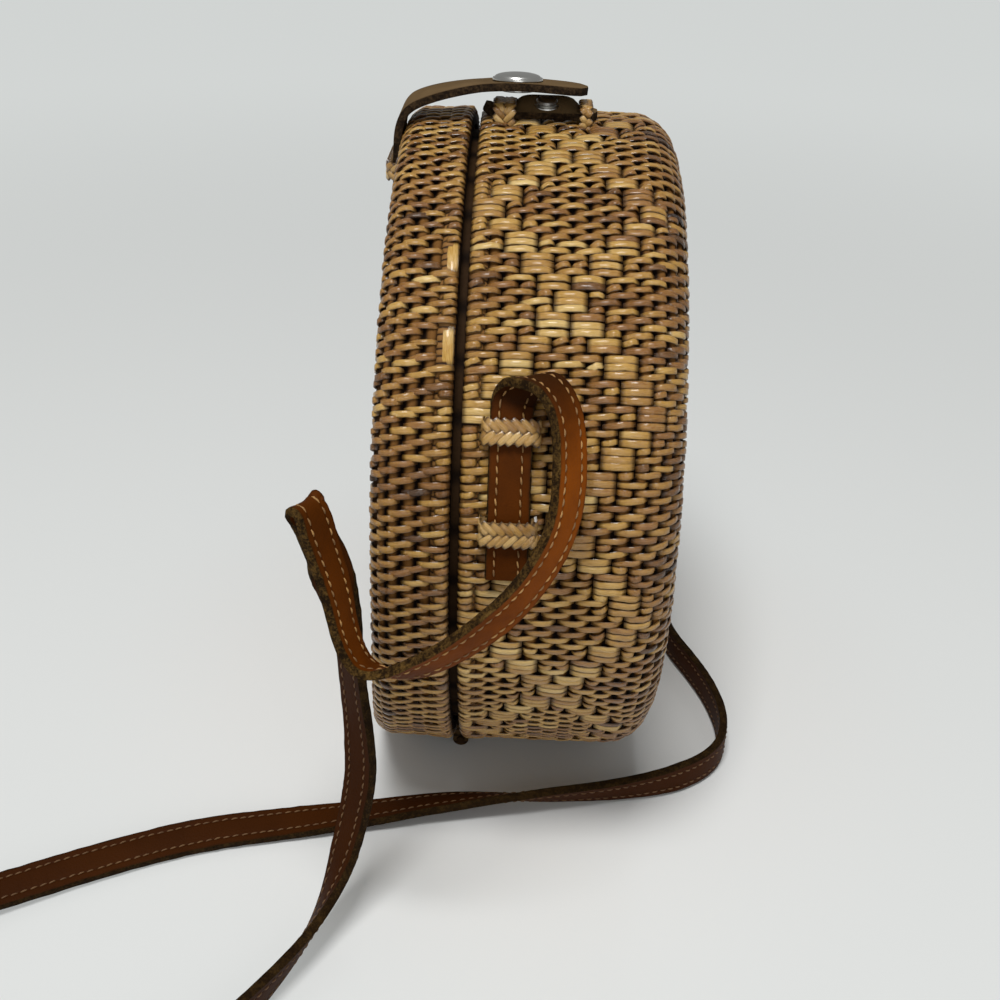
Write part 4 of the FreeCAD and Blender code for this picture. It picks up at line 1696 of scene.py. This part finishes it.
    def face_surface(self, run: np.ndarray, side: np.ndarray, height: np.ndarray) -> np.ndarray:
        """Places on the round face.

        Args:
            run: distance from the rim along the surface.
            side: arc round the drum.
            height: distance out of the face, along the drum.

        Returns:
            The places.
        """
        inward = run - self.bend_end
        radius = np.maximum(DRUM.radius - self.edge - inward, 0.0)
        turn = side / DRUM.radius
        x = self.face + self.toward * height
        return self.leaned(np.stack([x, -radius * np.cos(turn), DRUM.axis_z + radius * np.sin(turn)], -1))

    def rim_hoop(self) -> None:
        """Turn the wrapped hoop at the seam."""
        low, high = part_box(self.body.value + "_rim_hoop")
        size = (high.x - low.x) / 2
        middle = DRUM.radius - size - self.rim_drop
        along, out = self.rim_fill
        turns = [2 * math.pi * step / self.rim_points for step in range(self.rim_points)]
        points = [((low.x + high.x) / 2 + size * along * math.cos(turn), middle + size * out * math.sin(turn))
                  for turn in turns]
        piece = DRUM.turned(self.body.value + "_rim_wrap", points, self.turn_steps, True)
        Bench.smooth(piece, self.smooth_angle)
        Bench.dress(piece, self.body, Slot.RIM, RIM.material())
        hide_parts(self.body.value + "_rim_hoop")

    def build(self) -> None:
        """Make the half's pieces."""
        self.hoops()
        self.rim_hoop()
        self.wall_weave()
        self.face_weave()


@dataclass(frozen=True)
class LoopPlace:
    """Where a braided loop stands and what it spans."""

    node: str
    body: Body
    origin: Vector
    span: Vector
    wide: Vector
    up: Vector
    width: float
    inner_span: float
    inner_rise: float


@dataclass
class BraidedLoops:
    """Braided bands over the leather: two rows of slanting strands on each band."""

    width: float = 0.006
    tab_widths: tuple[float, float] = (0.0055, 0.0026)
    keeper_width: float = 0.0045
    thick: float = 0.0012
    corner: float = 0.0019
    foot: float = 0.0012
    play: float = 0.0003
    strand_pitch: float = 0.0022
    strand_width: float = 0.0019
    slant: float = math.radians(42)
    strap_turns: tuple[float, float] = (25.3, 11.0)
    tab_offsets: tuple[float, float] = (0.0069, 0.0302)
    keeper_down: float = 0.0145
    keeper_in: float = 0.001
    band_points: int = 40
    band_steps: int = 5
    bevel: float = 0.0004
    smooth_angle: float = 50.0
    seed: int = 41
    crest: float = 0.9
    strand_thick: float = 0.0008
    strand_rise: float = 0.0003
    strand_taper: float = 0.25
    strand_widths: Span = (0.95, 1.1)
    strand_stray: float = 0.00012
    past_edge: float = 0.0002
    past_middle: float = 0.0003
    past_end: float = 0.0004
    tone: float = 0.6
    tone_spread: float = 0.14
    tone_limits: Span = (0.1, 1.0)

    def places(self, strap: ShoulderStrap, clasp: "Clasp") -> list[LoopPlace]:
        """List every loop.

        Args:
            strap: strap that the side loops hold.
            clasp: clasp whose leather the other loops hold.

        Returns:
            The loops' places.
        """
        found = []
        along = Vector((1.0, 0.0, 0.0))
        across = Vector((0.0, 1.0, 0.0))
        upward = Vector((0.0, 0.0, 1.0))
        spans = strap.width + 2 * self.play, strap.seat + strap.thick + self.play
        for level, degrees in zip(("upper", "lower"), self.strap_turns):
            turn = math.radians(degrees)
            for side, sign in (("near", 1.0), ("far", -1.0)):
                out = Vector((0.0, -sign * math.cos(turn), math.sin(turn)))
                wide = Vector((0.0, sign * math.sin(turn), math.cos(turn)))
                origin = Vector((strap.x, 0.0, DRUM.axis_z)) + out * DRUM.radius
                name = f"strap_loop_{side}_{level}"
                found.append(LoopPlace(name, Body.BODY, origin, along * sign, wide, out, self.width, *spans))
        top = DRUM.axis_z + DRUM.radius
        tab = clasp.tab_width + 2 * self.play, clasp.tab_thick + self.play
        for level, offset, wide in zip(("inner", "outer"), self.tab_offsets, self.tab_widths):
            origin = Vector((DRUM.body_rim + offset, 0.0, top))
            name = f"tab_loop_{level}"
            found.append(LoopPlace(name, Body.BODY, origin, -across, along, upward, wide, *tab))
        flap = clasp.width + 2 * self.play, clasp.root_height + self.play / 2
        origin = Vector((DRUM.lid_face + self.keeper_in, 0.0, top - self.keeper_down))
        keeper = self.keeper_width, *flap
        found.append(LoopPlace("flap_keeper_loop", Body.LID, origin, across, -upward, -along, *keeper))
        return found

    def band(self, loop: LoopPlace) -> tuple[Surface, float]:
        """Outer surface of one band.

        Args:
            loop: the loop.

        Returns:
            A function of the distance over the band, the place across it and the height, and the
            band's length from foot to foot.
        """
        half = loop.inner_span / 2 + self.thick
        top = loop.inner_rise + self.thick
        upright = top - self.corner + self.foot
        bend = self.corner * math.pi / 2
        level = 2 * (half - self.corner)
        total = 2 * upright + 2 * bend + level

        def surface(run: np.ndarray, side: np.ndarray, height: np.ndarray) -> np.ndarray:
            """Places on the band.

            Args:
                run: distance over the band from its first foot.
                side: place across the band.
                height: distance out of its surface.

            Returns:
                The places.
            """
            turn = np.clip((run - upright) / self.corner, 0.0, math.pi / 2)
            turn = turn + np.clip((run - upright - bend - level) / self.corner, 0.0, math.pi / 2)
            rise = np.clip(run, None, upright) - self.foot - np.clip(run - total + upright, 0.0, None)
            over = np.clip(run - upright - bend, 0.0, level)
            reach = self.corner + height
            first = np.minimum(turn, math.pi / 2)
            second = turn - first
            flat = -half + self.corner - reach * np.cos(first) + over + reach * np.sin(second)
            lift = rise + reach * np.sin(first) - reach * (1.0 - np.cos(second))
            origin, span, up, wide = (np.array(way) for way in (loop.origin, loop.span, loop.up, loop.wide))
            return origin + span * flat[..., None] + up * lift[..., None] + wide * side[..., None]

        return surface, total

    def braid(self, loop: LoopPlace, total: float, rng: np.random.Generator) -> Strands:
        """Two rows of slanting strands on one band.

        Args:
            loop: the loop.
            total: the band's length from foot to foot.
            rng: random numbers that all loops share.

        Returns:
            The strands.
        """
        strands = Strands()
        half = loop.width / 2
        reach = half / math.tan(self.slant)
        for start in np.arange(-reach, total + self.strand_pitch, self.strand_pitch):
            for row, lag in ((1.0, 0.0), (-1.0, 0.5)):
                strands.add(
                    run=start + lag * self.strand_pitch + rng.normal(0.0, self.strand_stray),
                    side=row * (half + self.past_edge),
                    run_step=reach + self.past_end,
                    side_step=-row * (half + self.past_middle),
                    width=self.strand_width * rng.uniform(*self.strand_widths),
                    thick=self.strand_thick,
                    rise=self.strand_rise,
                    base=0.0,
                    taper=self.strand_taper,
                    tint=float(np.clip(rng.normal(self.tone, self.tone_spread), *self.tone_limits)),
                )
        return strands

    def build(self, strap: ShoulderStrap, clasp: "Clasp") -> None:
        """Make every loop's band and braid it.

        Args:
            strap: strap that the side loops hold.
            clasp: clasp whose leather the other loops hold.
        """
        band_finish = BAND.material()
        braid_finish = BRAID.material()
        rng = np.random.default_rng(self.seed)
        count, steps = self.band_points, self.band_steps
        for loop in self.places(strap, clasp):
            surface, total = self.band(loop)
            side, depth = np.full(count, -loop.width / 2), np.full(count, -self.thick / 2)
            line = surface(np.linspace(0.0, total, count), side, depth)
            band = Bench.ribbon(loop.node + "_band", line, loop.wide * (loop.width / steps), steps)
            Bench.thicken(band, self.thick, self.bevel)
            Bench.smooth(band, self.smooth_angle)
            Bench.dress(band, loop.body, Slot.BRAID, band_finish, band_finish)
            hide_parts(loop.node)
            strands = self.braid(loop, total, rng)
            piece = strands.lay(loop.node + "_braid", surface, self.crest, lengths=4)
            Bench.dress(piece, loop.body, Slot.BRAID, braid_finish)


@dataclass
class Clasp:
    """Leather flap over the lid's shoulder, press stud, and the tab on the body's top."""

    width: float = 0.018
    thick: float = 0.0022
    root_out: float = 0.001
    roll: float = math.radians(6)
    roll_start: float = 0.004
    roll_length: float = 0.02
    route: tuple[tuple[float, float], ...] = (
        (-0.0002, -0.028), (0.0001, -0.018), (0.0002, -0.009), (0.0006, -0.0025), (0.0026, 0.0022),
        (0.0066, 0.0046), (0.0144, 0.0069), (0.0244, 0.0086), (0.0344, 0.0091), (0.0442, 0.0087),
        (0.0542, 0.0079),
    )
    columns: int = 12
    bevel: float = 0.0004
    smooth_angle: float = 40.0
    tip_round: float = 0.007
    snap_from_seam: float = 0.0114
    stud_from_seam: float = 0.02
    tab_start: float = 0.001
    tab_length: float = 0.0325
    tab_width: float = 0.009
    tab_thick: float = 0.0025
    tab_round: float = 0.003
    tab_gap: float = 0.0001
    tab_trim: float = 0.0002
    tab_cells: tuple[int, int] = (26, 10)
    tab_bow: float = 0.0032
    bow_middle: float = 0.55
    bow_reach: float = 0.28
    bow_power: int = 6
    tab_curl: float = 0.0016
    curl_reach: float = 0.1
    dome_radius: float = 0.0066
    dome_base: float = 0.0009
    dome_rise: float = 0.0014
    dome_steps: int = 9
    shank: float = 0.002
    shank_past: float = 0.0006
    metal_steps: int = 48
    metal_angle: float = 35.0
    stud_lift: float = 0.3
    stud_tilt: float = 0.6
    cap_rim: tuple[Span, ...] = (
        (0.0069, 0.00075), (0.0071, 0.0008), (0.0072, 0.0006), (0.0072, 0.0002), (0.007, 0.0),
    )
    socket: tuple[Span, ...] = (
        (0.0021, 0.0), (0.0049, 0.0), (0.005, -0.0002), (0.005, -0.0006), (0.0047, -0.0008),
        (0.0042, -0.0009), (0.0037, -0.0009), (0.0034, -0.0008), (0.0034, -0.0004), (0.0021, -0.0004),
        (0.0021, 0.0),
    )
    stud: tuple[Span, ...] = (
        (0.0, 0.002), (0.0021, 0.002), (0.0028, 0.0018), (0.0031, 0.0014), (0.0029, 0.0009),
        (0.0027, 0.0006), (0.0036, 0.00055), (0.0039, 0.0004), (0.004, 0.0001), (0.0038, 0.0),
    )

    @property
    def seam(self) -> float:
        """Middle of the gap between the halves."""
        return (DRUM.body_rim + DRUM.lid_rim) / 2

    @property
    def root_height(self) -> float:
        """Height of the flap's root over the lid's face."""
        return self.root_out + self.thick / 2

    def flap(self) -> float:
        """Make the flap as one leather strip that bends from the lid to its free part.

        Returns:
            Height of the strip's middle at the press stud's cap.
        """
        top = DRUM.axis_z + DRUM.radius
        half = self.width / 2
        line = Bench.spline([(DRUM.lid_face + out, -half, top + up) for out, up in self.route])
        step = Vector((0.0, self.width / self.columns, 0.0))
        piece = Bench.ribbon("flap_leather_strip", line, step, self.columns)
        places = Bench.points(piece)
        tip = line[-1, 0]
        into = np.clip((places[:, 0] - (tip - self.tip_round)) / self.tip_round, 0.0, 1.0)
        places[:, 1] *= (half - self.tip_round + self.tip_round * np.sqrt(1.0 - into ** 2)) / half
        Bench.store(piece, across=places[:, 1] / half)
        free = np.clip((places[:, 0] - DRUM.lid_face - self.roll_start) / self.roll_length, 0.0, 1.0)
        places[:, 2] -= places[:, 1] * math.sin(self.roll) * free
        Bench.move(piece, places)
        self.leather(piece, self.thick)
        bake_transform(piece)
        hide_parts("flap_anchor", "clasp_flap")
        return float(np.interp(self.seam + self.snap_from_seam, line[:, 0], line[:, 2]))

    def leather(self, piece: bpy.types.Object, thick: float) -> None:
        """Make a sheet leather: its two finishes, its thickness and soft rims.

        Args:
            piece: the sheet.
            thick: thickness in metres.
        """
        piece.data.materials.append(FLAP_TOP.material())
        piece.data.materials.append(RAW_FLAP.material())
        Bench.thicken(piece, thick, self.bevel)
        Bench.smooth(piece, self.smooth_angle)

    def tab(self) -> None:
        """Make the tab, saddled on the body's top and bowed up between its loops."""
        Bench.start()
        long, wide = self.tab_cells
        bpy.ops.mesh.primitive_grid_add(x_subdivisions=long, y_subdivisions=wide, size=1.0)
        piece = bpy.context.object
        piece.name = "clasp_tab_leather"
        places = Bench.points(piece)
        along, across = places[:, 0] + 0.5, places[:, 1] * 2
        Bench.store(piece, across=across)
        past = np.abs(along - 0.5) * self.tab_length - self.tab_length / 2 + self.tab_round
        ends = np.clip(past / self.tab_round, 0.0, 1.0)
        narrow = 1.0 - (self.tab_round / (self.tab_width / 2)) * (1.0 - np.sqrt(1.0 - ends ** 2))
        y = across * narrow * self.tab_width / 2
        away = np.clip(np.abs(along - self.bow_middle) / self.bow_reach, 0.0, 1.0)
        bow = self.tab_bow * (1.0 - away ** self.bow_power) * (0.5 + 0.5 * across)
        bow += self.tab_curl * np.clip(1.0 - along / self.curl_reach, 0.0, 1.0)
        saddle = np.sqrt((DRUM.radius + self.tab_gap) ** 2 - y ** 2)
        z = DRUM.axis_z + saddle + self.tab_thick / 2 + bow
        x = DRUM.body_rim + self.tab_start + along * self.tab_length
        Bench.move(piece, np.stack([x, y, z], 1))
        self.leather(piece, self.tab_thick - self.tab_trim)
        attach(piece, Body.BODY.value)
        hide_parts("clasp_tab")

    def turned_metal(
        self, node: str, body: Body, points: Sequence[tuple[float, float]], base: Vector, roll: float = 0.0
    ) -> None:
        """Turn one part of the press stud.

        Args:
            node: solid that it stands for.
            body: body that carries it.
            points: outline as radius and height over the base.
            base: middle of its base.
            roll: lean of its axis about X, as the leather leans.
        """
        axis = Vector((0.0, math.sin(roll), math.cos(roll)))
        outline = [tuple(base + axis * height + Vector((radius, 0.0, 0.0))) for radius, height in points]
        piece = Bench.turn(node + "_turned", outline, base, axis, self.metal_steps, False)
        Bench.smooth(piece, self.metal_angle)
        Bench.dress(piece, body, Slot.METAL, METAL.material())
        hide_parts(node)

    def pin(self, depth: float) -> list[Span]:
        """Outline of the pin through the leather, down to a depth below the base."""
        return [(self.shank, 0.0), (self.shank, -depth), (0.0, -depth)]

    def press_stud(self, level: float) -> None:
        """Make the cap, the socket and the stud.

        Args:
            level: height of the flap's middle at the cap.
        """
        middle = Vector((self.seam + self.snap_from_seam, 0.0, level))
        above = Vector((0.0, math.sin(self.roll), math.cos(self.roll))) * (self.thick / 2)
        turns = [math.pi / 2 * step / self.dome_steps for step in range(self.dome_steps + 1)]
        cap = [(self.dome_radius * math.sin(turn), self.dome_base + self.dome_rise * math.cos(turn))
               for turn in turns]
        cap += [*self.cap_rim, *self.pin(self.thick + self.shank_past)]
        self.turned_metal("snap_cap", Body.FLAP, cap, middle + above, self.roll)
        self.turned_metal("snap_socket", Body.FLAP, self.socket, middle - above, self.roll)
        seat = Vector((self.seam + self.stud_from_seam, 0.0, DRUM.axis_z + DRUM.radius + self.tab_thick))
        lift = Vector((0.0, 0.0, self.tab_bow * self.stud_lift))
        tilt = -self.stud_tilt * math.atan(self.tab_bow / self.tab_width)
        stud = [*self.stud, *self.pin(self.tab_thick)]
        self.turned_metal("snap_stud", Body.BODY, stud, seat + lift, tilt)

    def build(self) -> None:
        """Make the clasp's pieces."""
        level = self.flap()
        self.tab()
        self.press_stud(level)


@dataclass
class Inside:
    """Cloth linings, the inner collar and the hinge under the seam."""

    wall: float = 0.005
    gap: float = 0.0002
    cloth: float = 0.0008
    wrinkle: float = 0.00035
    slack: float = 0.29
    slack_share: float = 0.7
    wall_steps: int = 8
    corner_steps: int = 6
    face_steps: int = 14
    turn_steps: int = 96
    folds: int = 23
    drift: float = 2
    drifts: int = 5
    fold_from: float = 0.5
    least_reach: float = 0.02
    axis_reach: float = 1e-6
    smooth_angle: float = 60.0

    def lining(self, half: str, body: Body, open_x: float, face_x: float) -> None:
        """Line one half with cloth.

        Args:
            half: first word of the solid's name.
            body: body that carries it.
            open_x: X of the open side.
            face_x: X of the lined face.
        """
        toward = 1.0 if face_x > open_x else -1.0
        radius = DRUM.radius - self.wall - self.gap - self.cloth / 2
        corner = DRUM.edge(body) - self.wall - self.gap
        bend_x = face_x - toward * (corner + self.cloth / 2)
        length = bend_x - open_x
        points = [(open_x + length * step / self.wall_steps, radius) for step in range(self.wall_steps)]
        for step in range(self.corner_steps + 1):
            turn = math.pi / 2 * step / self.corner_steps
            slack = self.slack * corner * math.sin(2 * turn) * self.slack_share
            points.append((bend_x + toward * (corner * math.sin(turn) - slack),
                           radius - corner + corner * math.cos(turn) - slack))
        flat_x = face_x - toward * self.cloth / 2
        for step in range(1, self.face_steps + 1):
            points.append((flat_x, (radius - corner) * (1 - step / self.face_steps)))
        table = np.array(points)
        run = np.concatenate([[0.0], np.cumsum(np.hypot(*np.diff(table, axis=0).T))])
        piece = DRUM.turned(half + "_lining_cloth", points, self.turn_steps, False)
        places = Bench.points(piece)
        y, z = places[:, 1], places[:, 2] - DRUM.axis_z
        reach = np.hypot(y, z)
        turn = np.arctan2(z, -y)
        wave = np.sin(turn * self.folds + self.drift * np.sin(turn * self.drifts))
        fold = self.wrinkle * wave * np.clip(reach / radius - self.fold_from, 0.0, 1.0)
        smaller = (reach - np.abs(fold)) / np.maximum(reach, self.axis_reach)
        shrink = np.where(reach > self.axis_reach, smaller, 1.0)
        places[:, 1] *= shrink
        places[:, 2] = DRUM.axis_z + z * shrink
        Bench.move(piece, places)
        apart = (places[:, None, 0] - table[None, :, 0]) ** 2 + (reach[:, None] - table[None, :, 1]) ** 2
        Bench.store(piece, run=run[apart.argmin(1)], round=turn * np.maximum(reach, self.least_reach))
        wall = piece.modifiers.new("thickness", "SOLIDIFY")
        wall.thickness = self.cloth
        wall.offset = 0.0
        Bench.apply(piece)
        Bench.smooth(piece, self.smooth_angle)
        Bench.dress(piece, body, Slot.CLOTH, CLOTH.material())
        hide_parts(half + "_lining")

    def build(self) -> None:
        """Make the linings and dress the solids that stay."""
        for half, body in (("body", Body.BODY), ("lid", Body.LID)):
            low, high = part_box(half + "_lining")
            ends = (low.x, high.x) if half == "body" else (high.x, low.x)
            self.lining(half, body, *ends)
        # The collar, hinge pins and hinge loops take dark finishes that paint the shade of the gap under the
        # seam.
        cane = CANE.material()
        braid = HINGE_BRAID.material()
        for node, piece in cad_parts.items():
            finish = cane if node in ("body_collar", "hinge_pin_front", "hinge_pin_rear") else None
            finish = braid if "_hinge_loop_" in node else finish
            if finish is not None:
                piece.data.materials.clear()
                piece.data.materials.append(finish)


VINE = VineFinish("smoked vine", (0.022, 0.007, 0.001), (0.26, 0.11, 0.019), (0.48, 0.27, 0.055),
                  (0.8, 0.59, 0.24))
# The braid's strands take the same painted shade at their ends and sides.
BRAID = VineFinish("pale braid", (0.03, 0.011, 0.003), (0.26, 0.125, 0.03), (0.47, 0.27, 0.075),
                   (0.66, 0.44, 0.17), painted_end_shade=0.9, painted_side_shade=0.9)
# The hoops' groove colour is painted shade.
CORE = CoreFinish("bare hoops", (0.008, 0.003, 0.001), (0.16, 0.07, 0.016))
BAND = CaneFinish("braid ground", (0.05, 0.025, 0.01), (0.2, 0.12, 0.045), 900.0)
# Painted shade: the hinge loops are a dark copy of the braid ground, for they lie in the shadow under the
# bag.
HINGE_BRAID = CaneFinish("hinge braid in painted shade", (0.012, 0.006, 0.003), (0.06, 0.034, 0.014), 620.0, 0.05)
RIM = CaneFinish("wrapped rim", (0.02, 0.008, 0.003), (0.24, 0.115, 0.03), 330.0)
# Painted shade: the collar and hinge pins are near black, as they sit in the shadowed gap under the seam.
CANE = CaneFinish("split cane", (0.008, 0.004, 0.002), (0.03, 0.015, 0.006), 40.0, 0.05)
# Painted shade: the strap and its raw edge darken along the stretches that lie in shadow.
STRAP_LEATHER = LeatherFinish("cognac leather", (0.085, 0.02, 0.0015), (0.25, 0.06, 0.003),
                              (0.03, 0.012, 0.003), 0.4, shade_rise=(0.1, 0.25), near_end_shade=0.75)
FLAP_TOP = LeatherFinish("brown leather", (0.07, 0.042, 0.018), (0.18, 0.115, 0.052),
                         (0.05, 0.028, 0.013), 0.58, row=2.0)
RAW_EDGE = RawLeatherFinish("raw strap edge", (0.013, 0.006, 0.0015), (0.13, 0.07, 0.017),
                            shade_rise=(0.19, 0.27))
RAW_FLAP = RawLeatherFinish("raw flap edge", (0.012, 0.007, 0.004), (0.07, 0.042, 0.02))
THREAD = ThreadFinish("tan thread", (0.5, 0.27, 0.08), (0.1, 0.045, 0.015))
METAL = MetalFinish("nickel", (0.62, 0.62, 0.6), (0.4, 0.4, 0.39))
CLOTH = ClothFinish("cotton lining", (0.5, 0.37, 0.23), (0.3, 0.2, 0.11))
BOARD = FloorFinish("pale board", (0.82, 0.83, 0.82), (0.7, 0.725, 0.715))


def main() -> None:
    """Build the scene, sub-assembly by sub-assembly."""
    logging.basicConfig(level=logging.INFO, format="%(name)s %(message)s")
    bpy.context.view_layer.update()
    Studio().build()
    strap = ShoulderStrap()
    strap.build()
    clasp = Clasp()
    clasp.build()
    BraidedLoops().build(strap, clasp)
    WovenHalf(Body.BODY, DRUM.body_rim, DRUM.body_face, 15, 20, motif_middle=5, slant=0.0008).build()
    # Painted shade: the lid's lower tone darkens its strands against the body's, as the lid lies in more
    # shade.
    WovenHalf(Body.LID, DRUM.lid_rim, DRUM.lid_face, 6, 21, crest=0.8, slant=-0.0008, climb=0.0005,
              lean=0.0075, lean_in=0.0013, bare_turns=((34.5, 40.5), (49.0, 54.5)), tone=0.44,
              seeds=(29, 37)).build()
    Inside().build()
    bpy.context.view_layer.update()


if __name__ == "__main__":
    main()
